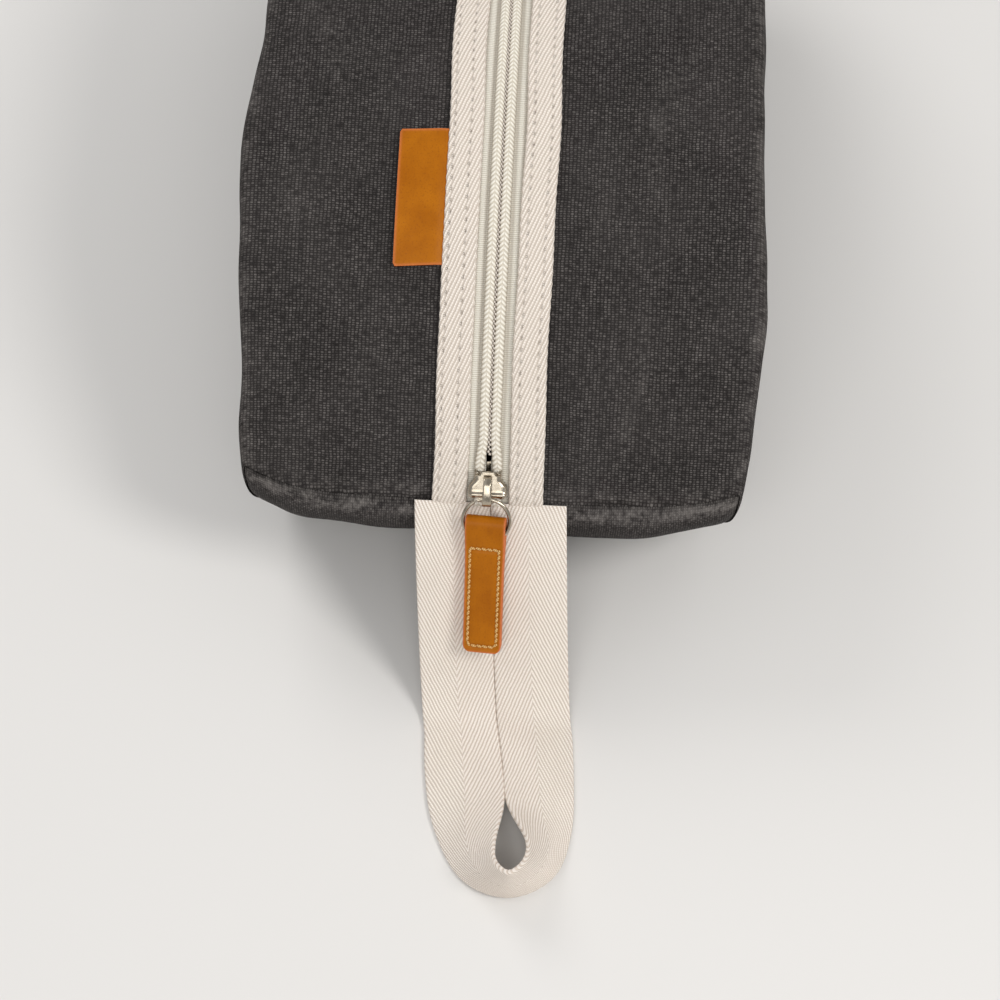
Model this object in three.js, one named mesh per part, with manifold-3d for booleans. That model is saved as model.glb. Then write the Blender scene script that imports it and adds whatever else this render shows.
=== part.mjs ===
// Shaving kit bag: a boxy waxed-canvas pouch with a zip that runs over the top from end to end,
// herringbone tape trims, a leather-tabbed zip pull, a leather side label and a webbing carry loop.
//
// Millimetres, +Z up. The origin is on the table at the middle of the base. The zip runs along Y;
// the end with the carry loop is the front, at -Y. Every fabric layer is its own thin solid, and
// touching layers keep a small gap.

import * as THREE from 'three';
import { mergeVertices } from 'three/addons/utils/BufferGeometryUtils.js';
import Module from 'manifold-3d';

// ---- Driving dimensions ----

const GAP = 0.3;
const LINING_GAP = 0.7;

// The bag's top runs over an arc in side view, about a line parallel to X.
const ARC_Z = -56;
const TOP_R = 159.7;
const SEAM_Y = 119.6;
const SEAM_Z = 49.2;
const BASE_HALF_LENGTH = 88;
const BASE_HALF_WIDTH = 60;
const CREASE_X = 65.5;
const CREASE_BOW = 2;
const SIDE_BULGE = 3;
const END_BULGE = { low: [-105, 13], high: [-127, 42] };

// The middle length of each half, its side and top together, leans outwards when the zip is open.
const MIDDLE_HALF_LENGTH = 72;
const MIDDLE_GAP = 0.4;

// Fabric thicknesses, and the shares of a panel's length and height that its lining covers.
const CANVAS = 1.2;
const LINING = 0.5;
const WHOLE = [0, 1];
const SIDE_LINING_START = 0.22;
const SIDE_LINING_RISE = [0.05, 0.97];
const END_PANEL_RISE = [0, 0.93];
const END_LINING_RISE = [0.06, 0.9];
const TOP_LINING_INSET = 3.2;
const TOP_LINING_END = 4;
const BASE_CORNER = 1.5;
const BASE_LINING = { sideInset: 2, endInset: 4, corner: 2 };

// Steps of the bent panels' grids.
const SIDE_STEPS = { front: 5, middle: 12, rear: 5, up: 6 };
const END_STEPS = 6;
const TOP_STEPS = { front: 9, middle: 18, rear: 9 };
const LABEL_STEPS = 6;

// Across the top, from the zip's middle outwards.
const COIL_IN = 0.8;
const COIL_OUT = 3.0;
const TRIM_IN = 5.45;
const TRIM_OUT = 14.5;
const CANVAS_IN = 10;
const LINING_IN = 6.6;

// Radii of the layers along the zip, from the arc's centre line.
const TAPE_R = [158.9, 159.6];
const COIL_R = [159.9, 161.9];
const TRIM_R = [160.0, 161.4];
const TOP_LINING_R = [157.6, 158.2];

// Leather label, sewn under the outer edge of the left trim.
const LABEL = { width: 12.2, front: -70.5, rear: -36.5, thickness: 1.1 };

// Zip slider, in its own frame: x across, y rearwards along the zip, z away from the arc centre.
const SLIDER_TURN = 46.2;
const SLIDER_HALF = 4.6;
const SHOULDER = 5.15;
const TAIL = 2.9;
const TOP_PLATE_R = [162.3, 163.5];
const FLANGE_R = 160.0;
const BOTTOM_PLATE_R = [157.2, 158.5];
const CHANNEL = 3.3;
const SLIDER_CORNER = [0.8, 0.9];
const SLIDER_WAIST = { from: -1.4, wideHandle: 0.6, tailHandle: 0.4, to: 2.6 };
const BOTTOM_PLATE_SHRINK = 0.4;
const POST = { half: 0.5, length: 2.4, y: -2.6, overlap: 0.4 };

// Bridge over the slider, and the ring and leather tab that hang from it.
const BRIDGE = { halfWidth: 1.2, thickness: 1, rear: 3.4, foot: 2.2, hookDrop: 0.4, hookSlant: 0.2 };
const PIVOT_R = 164.9;
const PIVOT_FORWARD = 4.1;
const RING_R = 6.1;
const WIRE_R = 0.5;
const PULL_SLOPE = 53;
const TAB = { halfWidth: 5.3, length: 39.5, thickness: 2.6, mouth: 4.1, pocket: 8.6, taper: 4 };
const TAB_LEAF = 1.2;
const TAB_CHAMFER = 0.9;
const TAB_CLEARANCE = 0.2;
const POCKET_END = 0.4;
const CURVE_STEPS = 5;
const RING_STEPS = [8, 28];

// Webbing carry loop: two strands side by side, down to the table and round a turn. At the turn
// the outer edge stays on the table and the inner edge rises round a drop-shaped eye.
const STRAND = 20;
const WEBBING = 1.4;
const LOOP_START = [-121.2, 50.4];
const LOOP_TABLE = [-162, 0.9];
const LOOP_LEAVE_SLOPE = 53;
const LOOP_HANDLES = [40, 12];
const LOOP_SWING = { start: 0.8, slope: 0.06, curve: 0.0008 };
const LOOP_STEPS = { hanging: 16, turn: 40 };
const TURN_OUTER = [
  [-14.9, -162.3, 0.9],
  [-13.9, -176, 0.9],
  [-10.8, -191, 0.9],
  [-2.5, -205.5, 0.9],
  [10.3, -211, 0.9],
  [21.7, -204.5, 0.9],
  [26, -191, 0.9],
  [26, -176, 0.9],
  [25.1, -162.3, 0.9],
];
const TURN_INNER = [
  [4.9, -162.3, 0.9],
  [6.6, -173, 1.6],
  [7.7, -185.5, 5.5],
  [6.3, -203.5, 13.5],
  [10.2, -214.5, 18.7],
  [14.3, -203, 14],
  [8.5, -185.5, 5.5],
  [6.9, -173, 1.6],
  [5.2, -162.3, 0.9],
];

// ---- Materials ----

const finish = (color, roughness, metalness = 0) => ({ color, roughness, metalness });
const CANVAS_FINISH = finish(0x3f3b38, 0.85);
const LINING_FINISH = finish(0x6e675c, 0.9);
const TRIM_FINISH = finish(0xddd3cb, 0.9);
const TAPE_FINISH = finish(0xe2d9d0, 0.85);
const COIL_FINISH = finish(0xe0d8d0, 0.5);
const WEBBING_FINISH = finish(0xe1d7cd, 0.9);
const LEATHER_FINISH = finish(0xa8621a, 0.5);
const METAL_FINISH = finish(0xb9b5ae, 0.3, 1);

// ---- Scene graph and shape helpers ----

const wasm = await Module();
wasm.setup();
const bag = new THREE.Group();

function addPart(name, geometry, look, parent = bag) {
  const mesh = new THREE.Mesh(geometry, new THREE.MeshStandardMaterial(look));
  mesh.name = name;
  parent.add(mesh);
  return mesh;
}

function merged(geometry) {
  const bare = geometry.clone();
  bare.deleteAttribute('normal');
  bare.deleteAttribute('uv');
  return mergeVertices(bare, 1e-4);
}

// Turns the faces of a closed geometry outwards if its map has mirrored them.
function facingOut(geometry) {
  const p = geometry.attributes.position;
  const index = geometry.index.array;
  const [a, b, c] = [new THREE.Vector3(), new THREE.Vector3(), new THREE.Vector3()];
  let volume = 0;
  for (let i = 0; i < index.length; i += 3) {
    a.fromBufferAttribute(p, index[i]);
    b.fromBufferAttribute(p, index[i + 1]);
    c.fromBufferAttribute(p, index[i + 2]);
    volume += a.dot(b.cross(c));
  }
  if (volume < 0) {
    for (let i = 0; i < index.length; i += 3) {
      [index[i], index[i + 1]] = [index[i + 1], index[i]];
    }
  }
  geometry.computeVertexNormals();
  return geometry;
}

// A box bent to a new shape: place(u, v, w) gives the point for each corner of its grid.
function bent(across, along, place) {
  const geometry = merged(new THREE.BoxGeometry(1, 1, 1, across, along, 1));
  const p = geometry.attributes.position;
  for (let i = 0; i < p.count; i++) {
    p.setXYZ(i, ...place(p.getX(i) + 0.5, p.getY(i) + 0.5, p.getZ(i) + 0.5));
  }
  return facingOut(geometry);
}

function solid(geometry) {
  const closed = merged(geometry);
  return new wasm.Manifold(new wasm.Mesh({
    numProp: 3,
    vertProperties: Float32Array.from(closed.attributes.position.array),
    triVerts: Uint32Array.from(closed.index.array),
  }));
}

function fromSolid(manifold) {
  const mesh = manifold.getMesh();
  const geometry = new THREE.BufferGeometry();
  geometry.setAttribute('position', new THREE.BufferAttribute(mesh.vertProperties, 3));
  geometry.setIndex(new THREE.BufferAttribute(mesh.triVerts, 1));
  geometry.computeVertexNormals();
  return geometry;
}

// Stands an extruded side view up across X: its x runs along Y times way, and its y along Z.
function sideways(geometry, way, halfWidth) {
  const basis = new THREE.Matrix4().makeBasis(
    new THREE.Vector3(0, way, 0),
    new THREE.Vector3(0, 0, 1),
    new THREE.Vector3(way, 0, 0),
  );
  return geometry.translate(0, 0, -halfWidth).applyMatrix4(basis);
}

const mix = THREE.MathUtils.lerp;
const radians = THREE.MathUtils.degToRad;

// ---- Outer form of the bag ----

const topZ = (r, y) => ARC_Z + Math.sqrt(r * r - y * y);

// The end below its seam, from the base up: it bellies out and comes back to the seam.
const endCurve = new THREE.CubicBezierCurve(
  new THREE.Vector2(-BASE_HALF_LENGTH, 0),
  new THREE.Vector2(...END_BULGE.low),
  new THREE.Vector2(...END_BULGE.high),
  new THREE.Vector2(-SEAM_Y, SEAM_Z),
);

// How much fuller the bag is at y than at its end seams.
const fullness = (y) => 1 - (y / SEAM_Y) ** 4;

// Half the bag's width at y, v of the way up from the base to the top crease.
function halfWidth(y, v) {
  const middle = CREASE_BOW * v + SIDE_BULGE * 4 * v * (1 - v);
  return mix(BASE_HALF_WIDTH, CREASE_X, v) + middle * fullness(y);
}

// The top edge of the sides, just under the top panels.
const EDGE_R = TOP_R - CANVAS - GAP;

// A point of the front length of a side as [y, z]: u from the end to the middle, v up to the crease.
function frontSidePoint(u, v) {
  const inner = -MIDDLE_HALF_LENGTH - MIDDLE_GAP;
  const end = endCurve.getPoint(v);
  const topY = mix(-SEAM_Y, inner, u);
  const low = mix(-BASE_HALF_LENGTH, inner, u);
  const cornerY = mix(-BASE_HALF_LENGTH, -SEAM_Y, v);
  const y = mix(low, topY, v) + (end.x - cornerY) * (1 - u);
  const sag = (end.y - v * SEAM_Z) * (1 - u);
  return [y, v * topZ(EDGE_R, topY) + sag];
}

function middleSidePoint(u, v) {
  const y = mix(-MIDDLE_HALF_LENGTH, MIDDLE_HALF_LENGTH, u);
  return [y, v * topZ(EDGE_R, y)];
}

// A strip of the top between two radii, from x0 to the outer edge x1 and from y0 to y1.
function topStrip(x0, x1, y0, y1, [low, high], steps, bow = 0) {
  return bent(1, steps, (u, v, w) => {
    const y = mix(y0, y1, v);
    const edge = x1 + Math.sign(x1) * bow * fullness(y);
    return [mix(x0, edge, u), y, topZ(mix(low, high, w), y)];
  });
}

// ---- Base, sides and lower ends ----

function flatPanel(halfX, halfY, z, thickness, corner) {
  const shape = new THREE.Shape();
  shape.moveTo(-halfX + corner, -halfY);
  shape.lineTo(halfX - corner, -halfY);
  shape.lineTo(halfX, -halfY + corner);
  shape.lineTo(halfX, halfY - corner);
  shape.lineTo(halfX - corner, halfY);
  shape.lineTo(-halfX + corner, halfY);
  shape.lineTo(-halfX, halfY - corner);
  shape.lineTo(-halfX, -halfY + corner);
  return new THREE.ExtrudeGeometry(shape, { depth: thickness, bevelEnabled: false }).translate(0, 0, z);
}

const BASE_X = BASE_HALF_WIDTH - CANVAS - GAP;
const BASE_Y = BASE_HALF_LENGTH - 2 * CANVAS;
addPart('base_panel', flatPanel(BASE_X, BASE_Y, 0, CANVAS, BASE_CORNER), CANVAS_FINISH);
const liningX = BASE_X - BASE_LINING.sideInset;
const liningY = BASE_Y - BASE_LINING.endInset;
addPart('base_lining', flatPanel(liningX, liningY, CANVAS + GAP, LINING, BASE_LINING.corner), LINING_FINISH);

// One length of a side; its grid runs over the given shares of the length and of the height.
function sidePanel(side, length, inset, thickness, [u0, u1], [v0, v1]) {
  const point = length === 'middle' ? middleSidePoint : frontSidePoint;
  const way = length === 'rear' ? -1 : 1;
  return bent(SIDE_STEPS[length], SIDE_STEPS.up, (a, b, w) => {
    const v = mix(v0, v1, b);
    const [y, z] = point(mix(u0, u1, a), v);
    return [side * (halfWidth(y, v) - inset - thickness * w), way * y, z];
  });
}

function endPanel(toRear, inset, thickness, sideInset, [v0, v1]) {
  return bent(END_STEPS, END_STEPS, (a, b, w) => {
    const v = mix(v0, v1, b);
    const at = endCurve.getPoint(v);
    const way = endCurve.getTangent(v);
    const depth = inset + thickness * w;
    const half = halfWidth(at.x, v) - sideInset;
    const y = at.x + way.y * depth;
    const z = Math.max(at.y - way.x * depth, 0);
    return [mix(-half, half, a), toRear ? -y : y, z];
  });
}

const SIDES = { left: -1, right: 1 };
const LENGTHS = {
  front: [-SEAM_Y, -MIDDLE_HALF_LENGTH - MIDDLE_GAP],
  middle: [-MIDDLE_HALF_LENGTH, MIDDLE_HALF_LENGTH],
  rear: [MIDDLE_HALF_LENGTH + MIDDLE_GAP, SEAM_Y],
};

for (const [name, side] of Object.entries(SIDES)) {
  for (const length of Object.keys(LENGTHS)) {
    const panel = sidePanel(side, length, 0, CANVAS, WHOLE, WHOLE);
    addPart(`side_panel_${length}_${name}`, panel, CANVAS_FINISH);
    const run = [length === 'middle' ? 0 : SIDE_LINING_START, 1];
    const lining = sidePanel(side, length, CANVAS + LINING_GAP, LINING, run, SIDE_LINING_RISE);
    addPart(`side_lining_${length}_${name}`, lining, LINING_FINISH);
  }
}

const END_SIDE = CANVAS + GAP;
const END_LINING_SIDE = CANVAS + LINING_GAP + LINING + GAP;
for (const end of ['front', 'rear']) {
  const toRear = end === 'rear';
  addPart(`end_panel_${end}`, endPanel(toRear, 0, CANVAS, END_SIDE, END_PANEL_RISE), CANVAS_FINISH);
  const lining = endPanel(toRear, CANVAS + LINING_GAP, LINING, END_LINING_SIDE, END_LINING_RISE);
  addPart(`end_lining_${end}`, lining, LINING_FINISH);
}

// ---- Top: canvas, lining, trims, zip tapes and coils, in three lengths on each side ----

const LAYERS = {
  top_panel: [CANVAS_IN, CREASE_X, [TOP_R - CANVAS, TOP_R], CANVAS_FINISH, CREASE_BOW],
  top_lining: [LINING_IN, CREASE_X - TOP_LINING_INSET, TOP_LINING_R, LINING_FINISH, CREASE_BOW],
  trim: [TRIM_IN, TRIM_OUT, TRIM_R, TRIM_FINISH, 0],
  zip_tape: [COIL_IN, CANVAS_IN - GAP, TAPE_R, TAPE_FINISH, 0],
  zip_coil: [COIL_IN, COIL_OUT, COIL_R, COIL_FINISH, 0],
};

for (const [length, [y0, y1]] of Object.entries(LENGTHS)) {
  for (const [name, side] of Object.entries(SIDES)) {
    for (const [layer, [inner, outer, radii, look, bow]] of Object.entries(LAYERS)) {
      const cut = layer === 'top_lining' ? TOP_LINING_END : 0;
      const from = y0 + (length === 'front' ? cut : 0);
      const to = y1 - (length === 'rear' ? cut : 0);
      const strip = topStrip(side * inner, side * outer, from, to, radii, TOP_STEPS[length], bow);
      addPart(`${layer}_${length}_${name}`, strip, look);
    }
  }
}

const labelOut = TRIM_OUT + GAP + LABEL.width;
const labelRadii = [TRIM_R[0], TRIM_R[0] + LABEL.thickness];
const label = topStrip(-labelOut, -TRIM_OUT - GAP, LABEL.front, LABEL.rear, labelRadii, LABEL_STEPS);
addPart('side_label', label, LEATHER_FINISH);

// ---- Zip slider, at rest at the front end ----

const sliderGroup = new THREE.Group();
sliderGroup.position.z = ARC_Z;
sliderGroup.rotation.x = radians(SLIDER_TURN);
bag.add(sliderGroup);

// Plan of the slider: wide shoulders at the front, a narrow tail at the rear.
function sliderPlan(shrink) {
  const wide = SHOULDER - shrink;
  const tail = TAIL - shrink;
  const front = -SLIDER_HALF + shrink;
  const rear = SLIDER_HALF - shrink;
  const [cornerX, cornerY] = SLIDER_CORNER;
  const { from, wideHandle, tailHandle, to } = SLIDER_WAIST;
  const plan = new THREE.Shape();
  plan.moveTo(-wide + cornerX, front);
  plan.lineTo(wide - cornerX, front);
  plan.quadraticCurveTo(wide, front, wide, front + cornerY);
  plan.lineTo(wide, from);
  plan.bezierCurveTo(wide, wideHandle, tail, tailHandle, tail, to);
  plan.lineTo(tail, rear);
  plan.lineTo(-tail, rear);
  plan.lineTo(-tail, to);
  plan.bezierCurveTo(-tail, tailHandle, -wide, wideHandle, -wide, from);
  plan.lineTo(-wide, front + cornerY);
  plan.quadraticCurveTo(-wide, front, -wide + cornerX, front);
  return plan;
}

function plate(shrink, low, high) {
  const options = { depth: high - low, bevelEnabled: false, curveSegments: CURVE_STEPS };
  return solid(new THREE.ExtrudeGeometry(sliderPlan(shrink), options).translate(0, 0, low));
}

function block(width, length, height, x, y, z) {
  return solid(new THREE.BoxGeometry(width, length, height).translate(x, y, z));
}

// The channel's cutting block is longer and deeper than the slider, so that it cuts right through.
const channelHeight = TOP_PLATE_R[0] - FLANGE_R + 1;
const channel = block(2 * CHANNEL, 3 * SLIDER_HALF, channelHeight, 0, 0, TOP_PLATE_R[0] - channelHeight / 2);
const postLow = BOTTOM_PLATE_R[1] - POST.overlap;
const postHigh = TOP_PLATE_R[0] + POST.overlap;
const post = block(2 * POST.half, POST.length, postHigh - postLow, 0, POST.y, (postLow + postHigh) / 2);
const sliderBody = plate(0, FLANGE_R, TOP_PLATE_R[1])
  .subtract(channel)
  .add(plate(BOTTOM_PLATE_SHRINK, ...BOTTOM_PLATE_R))
  .add(post);
addPart('slider_body', fromSolid(sliderBody), METAL_FINISH, sliderGroup);

// The bridge rises at the tail, runs forward over the ring's wire and hooks down in front of it.
const bridgeSide = new THREE.Shape();
const bridgeFoot = TOP_PLATE_R[1] + GAP;
const bridgeUnder = PIVOT_R + WIRE_R + GAP;
const bridgeTop = bridgeUnder + BRIDGE.thickness;
const bridgeFront = -PIVOT_FORWARD - WIRE_R - GAP;
const hookFront = bridgeFront - BRIDGE.thickness;
const hookTip = PIVOT_R - BRIDGE.hookDrop;
bridgeSide.moveTo(BRIDGE.rear, bridgeFoot);
bridgeSide.lineTo(BRIDGE.foot, bridgeFoot);
bridgeSide.quadraticCurveTo(BRIDGE.foot - GAP, bridgeUnder, BRIDGE.foot - 2 * BRIDGE.thickness, bridgeUnder);
bridgeSide.lineTo(bridgeFront + GAP, bridgeUnder);
bridgeSide.lineTo(bridgeFront, bridgeUnder - GAP);
bridgeSide.lineTo(bridgeFront, hookTip);
bridgeSide.lineTo(hookFront, hookTip + BRIDGE.hookSlant);
bridgeSide.quadraticCurveTo(hookFront, bridgeTop, hookFront + 2 * BRIDGE.thickness, bridgeTop);
bridgeSide.lineTo(BRIDGE.thickness, bridgeTop);
bridgeSide.quadraticCurveTo(BRIDGE.rear - GAP, bridgeTop, BRIDGE.rear, bridgeFoot);
const bridgeOptions = { depth: 2 * BRIDGE.halfWidth, bevelEnabled: false, curveSegments: CURVE_STEPS };
const bridge = sideways(new THREE.ExtrudeGeometry(bridgeSide, bridgeOptions), 1, BRIDGE.halfWidth);
addPart('slider_bridge', bridge, METAL_FINISH, sliderGroup);

// ---- Ring and leather tab, lying down the carry loop ----

const pullAnchor = new THREE.Group();
pullAnchor.position.set(0, -PIVOT_FORWARD, PIVOT_R);
pullAnchor.rotation.x = radians(PULL_SLOPE - SLIDER_TURN);
sliderGroup.add(pullAnchor);

const ring = new THREE.TorusGeometry(RING_R, WIRE_R, ...RING_STEPS).translate(0, -RING_R, 0);
addPart('pull_ring', facingOut(merged(ring)), METAL_FINISH, pullAnchor);

// Side view of the folded strap: two leaves about the ring's front wire, sewn together below.
const tabSide = new THREE.Shape();
const tabTop = RING_R - TAB_CLEARANCE;
const tabEnd = tabTop + TAB.length;
const foldEnd = tabTop + TAB.pocket;
const mouth = TAB.mouth / 2;
const thin = TAB.thickness / 2;
tabSide.moveTo(tabTop + TAB_CHAMFER, -mouth);
tabSide.lineTo(foldEnd, -mouth);
tabSide.lineTo(foldEnd + TAB.taper, -thin);
tabSide.lineTo(tabEnd, -thin);
tabSide.lineTo(tabEnd, thin);
tabSide.lineTo(foldEnd + TAB.taper, thin);
tabSide.lineTo(foldEnd, mouth);
tabSide.lineTo(tabTop + TAB_CHAMFER, mouth);
tabSide.lineTo(tabTop, mouth - TAB_CHAMFER);
tabSide.lineTo(tabTop, -mouth + TAB_CHAMFER);
const pocket = new THREE.Path();
pocket.moveTo(tabTop + TAB_LEAF, -mouth + TAB_LEAF);
pocket.lineTo(tabTop + TAB_LEAF, mouth - TAB_LEAF);
pocket.lineTo(foldEnd - POCKET_END, mouth - TAB_LEAF);
pocket.lineTo(foldEnd - POCKET_END, -mouth + TAB_LEAF);
tabSide.holes.push(pocket);
const tabOptions = { depth: 2 * TAB.halfWidth, bevelEnabled: false };
const tab = sideways(new THREE.ExtrudeGeometry(tabSide, tabOptions), -1, TAB.halfWidth);
addPart('pull_tab', tab, LEATHER_FINISH, pullAnchor);

// ---- Webbing carry loop ----

// The loop swings gently to +X as it leaves the bag.
function loopShift(y) {
  const away = -SEAM_Y - y;
  return LOOP_SWING.start + LOOP_SWING.slope * away + LOOP_SWING.curve * away * away;
}

const leave = radians(LOOP_LEAVE_SLOPE);
const [topHandle, tableHandle] = LOOP_HANDLES;
const hang = new THREE.CubicBezierCurve(
  new THREE.Vector2(...LOOP_START),
  new THREE.Vector2(-Math.cos(leave), -Math.sin(leave)).multiplyScalar(topHandle).add({
    x: LOOP_START[0],
    y: LOOP_START[1],
  }),
  new THREE.Vector2(LOOP_TABLE[0] + tableHandle, LOOP_TABLE[1]),
  new THREE.Vector2(...LOOP_TABLE),
);

function hangingRun(side) {
  return bent(1, LOOP_STEPS.hanging, (a, b, w) => {
    const at = hang.getPoint(b);
    const way = hang.getTangent(b);
    const lift = (w - 0.5) * WEBBING;
    const across = side * mix(GAP / 2, STRAND, a);
    return [across + loopShift(at.x), at.x + way.y * lift, at.y - way.x * lift];
  });
}

const edgeCurve = (points) => new THREE.CatmullRomCurve3(points.map((p) => new THREE.Vector3(...p)));
const turnOuter = edgeCurve(TURN_OUTER);
const turnInner = edgeCurve(TURN_INNER);

function turnPoint(across, along) {
  return turnOuter.getPoint(along).lerp(turnInner.getPoint(along), across);
}

// The strip that goes round the turn, as thick as the webbing about its ruled middle surface.
const TURN_STEP = 0.01;
const turn = bent(2, LOOP_STEPS.turn, (a, b, w) => {
  const at = turnPoint(a, b);
  const across = turnInner.getPoint(b).sub(turnOuter.getPoint(b));
  const ahead = turnPoint(a, Math.min(b + TURN_STEP, 1)).sub(turnPoint(a, Math.max(b - TURN_STEP, 0)));
  const lift = ahead.cross(across).normalize().multiplyScalar((w - 0.5) * WEBBING);
  return at.add(lift).toArray();
});
addPart('loop_turn', turn, WEBBING_FINISH);

for (const [name, side] of Object.entries(SIDES)) {
  addPart(`loop_hanging_run_${name}`, hangingRun(side), WEBBING_FINISH);
}

export default bag;
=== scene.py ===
"""Looks of the shaving kit bag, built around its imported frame.

Lengths here are millimetres in the row frame; they become metres as each mesh is made.
"""

import math

import bpy
import numpy as np
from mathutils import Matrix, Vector


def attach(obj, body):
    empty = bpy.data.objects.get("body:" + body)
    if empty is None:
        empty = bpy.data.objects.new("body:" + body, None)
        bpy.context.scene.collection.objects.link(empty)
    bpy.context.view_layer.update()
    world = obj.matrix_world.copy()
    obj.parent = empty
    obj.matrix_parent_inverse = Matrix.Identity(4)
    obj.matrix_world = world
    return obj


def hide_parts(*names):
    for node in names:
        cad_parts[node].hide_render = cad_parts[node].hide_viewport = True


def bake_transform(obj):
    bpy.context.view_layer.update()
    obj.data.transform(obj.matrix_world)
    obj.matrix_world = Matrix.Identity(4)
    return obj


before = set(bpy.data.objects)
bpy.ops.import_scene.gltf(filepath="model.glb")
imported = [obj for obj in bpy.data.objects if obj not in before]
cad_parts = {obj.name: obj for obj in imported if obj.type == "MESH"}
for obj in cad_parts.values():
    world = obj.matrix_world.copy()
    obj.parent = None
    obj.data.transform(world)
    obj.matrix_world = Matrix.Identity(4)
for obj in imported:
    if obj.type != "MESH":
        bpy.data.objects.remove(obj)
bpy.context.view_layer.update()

MM = 0.001
SIDES = {"left": -1, "right": 1}
ENDS = {"front": -1, "rear": 1}

# ---- Dimensions shared with the frame ----

ARC_Z = -56.0
TOP_R = 159.7
SEAM_Y = 119.6
SEAM_Z = 49.2
BASE_HALF_LENGTH = 88.0
BASE_HALF_WIDTH = 60.0
CANVAS = 1.2
LINING = 0.5
LINING_GAP = 0.45
CANVAS_IN = 10.0
TRIM_IN = 5.45
TRIM_OUT = 14.5
TRIM_R = (159.9, 161.5)
TAPE_R = (158.9, 159.6)
COIL_R = (159.7, 161.7)
SLIDER_TURN = math.radians(46.2)
PIVOT_R = 164.9
PIVOT_FORWARD = 4.1
PULL_SLOPE = math.radians(53.0)
RING_R = 6.1
WIRE_R = 0.5
STRAND = 20.0

# Length of one stitch along the trims.
STITCH = 3.0

# Closest that any cloth comes to the table.
TABLE_CLEAR = 0.05

# ---- Form of the canvas ----

# Half width at the crease, by distance along the bag; the two sides are packed differently.
CREASE_AT = (-119.6, -110.0, -78.0, -43.0, 5.0, 60.0, 119.6)
CREASE_HALF = {
    "left": (65.6, 65.4, 66.8, 68.8, 65.4, 67.0, 65.0),
    "right": (66.8, 67.6, 69.8, 68.1, 67.0, 67.5, 65.0),
}
SIDE_BULGE = 3.4
CORNER_BACK = {"left": 4.4, "right": 3.0}
CORNER_ROUND = 0.9
CORNER_REACH = 4.0
CREASE_ROUND = 1.8
END_LOW = (-105.0, 13.0)
END_HIGH = (-127.0, 42.0)
END_PILLOW = (-9.5, 3.0)
SEAM_ROLL = 2.4
SEAM_DROP = 1.0
END_TUCK = 0.2
UNDERLAP = 1.9
EDGE_THIN = 1.1
CREASE_R = TOP_R - 0.6
TOP_COLUMNS = 46
SIDE_COLUMNS = 66

# Weave shifts that keep the noise on one piece from repeating on the next.
UV_RIGHT = 400
UV_END = 700
UV_BASE = 1500
UV_BASE_LINING = 1800

# Ridges pressed into the top by packing: side, points (x, y), height, width, paleness (partly wear,
# partly painted highlight).
FOLDS = (
    ("right", ((49, -12), (41, -29), (39.5, -52)), 0.55, 4.2, 0.55),
    ("right", ((29.5, -48), (25.5, -63)), 0.3, 3.2, 0.3),
    ("right", ((38.5, -78), (39.5, -93), (34.7, -106), (33, -111)), 0.5, 3.0, 0.5),
    ("right", ((56, -84), (60, -66)), -0.4, 4.0, 0.0),
    ("left", ((-52, 2), (-46, -14), (-43, -27)), 0.5, 6.0, 0.5),
    ("left", ((-58, -50), (-48, -66)), 0.4, 5.0, 0.22),
    ("left", ((-30, -86), (-36, -101)), 0.35, 4.5, 0.2),
    ("left", ((-54, 42), (-40, 60)), 0.5, 6.0, 0.3),
    ("right", ((52, 38), (42, 62)), 0.5, 5.0, 0.35),
)


# ---- Small maths ----


def lerp(a, b, t):
    return a + (b - a) * t


def smooth(t):
    t = np.clip(t, 0, 1)
    return t * t * (3 - 2 * t)


def unit(v):
    return v / np.maximum(np.linalg.norm(v, axis=-1, keepdims=True), 1e-9)


def ripple(points, size, seed, waves=16):
    """Soft seeded noise of about unit height over points, with ripples about size long."""
    rng = np.random.default_rng(seed)
    total = np.zeros(points.shape[:-1])
    for _ in range(waves):
        way = unit(rng.normal(size=points.shape[-1]))
        length = size * rng.uniform(0.7, 1.5)
        total += np.sin(points @ way * (2 * math.pi / length) + rng.uniform(0, 2 * math.pi))
    return total / math.sqrt(waves / 2)


def bezier(a, b, c, d, t):
    t = np.asarray(t, float)[..., None]
    a, b, c, d = (np.asarray(p, float) for p in (a, b, c, d))
    return a * (1 - t) ** 3 + 3 * b * t * (1 - t) ** 2 + 3 * c * t * t * (1 - t) + d * t**3


def lengths(line):
    steps = np.linalg.norm(np.diff(line, axis=0), axis=1)
    return np.concatenate([[0.0], np.cumsum(steps)])


def resample(line, at):
    """Points of a polyline at the given distances along it."""
    run = lengths(line)
    return np.stack([np.interp(at, run, line[:, k]) for k in range(line.shape[1])], axis=1)


def soften(line, radius, step=0.5):
    """A polyline with its bends rounded; its ends stay where they are."""
    run = lengths(line)
    count = max(int(run[-1] / step), 8)
    even = resample(line, np.linspace(0, run[-1], count))
    reach = max(int(3 * radius / step), 1)
    bell = np.exp(-0.5 * (np.arange(-reach, reach + 1) * step / radius) ** 2)
    bell /= bell.sum()
    head = 2 * even[0] - even[reach:0:-1]
    tail = 2 * even[-1] - even[-2 : -reach - 2 : -1]
    long = np.concatenate([head, even, tail])
    return np.stack([np.convolve(long[:, k], bell, "valid") for k in range(3)], axis=1)


def arc_z(r, y):
    return ARC_Z + np.sqrt(r * r - y * y)


def arc_run(y):
    """Distance along the top from the middle of the bag to y."""
    return TOP_R * np.arcsin(np.clip(y / TOP_R, -1, 1))


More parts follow.
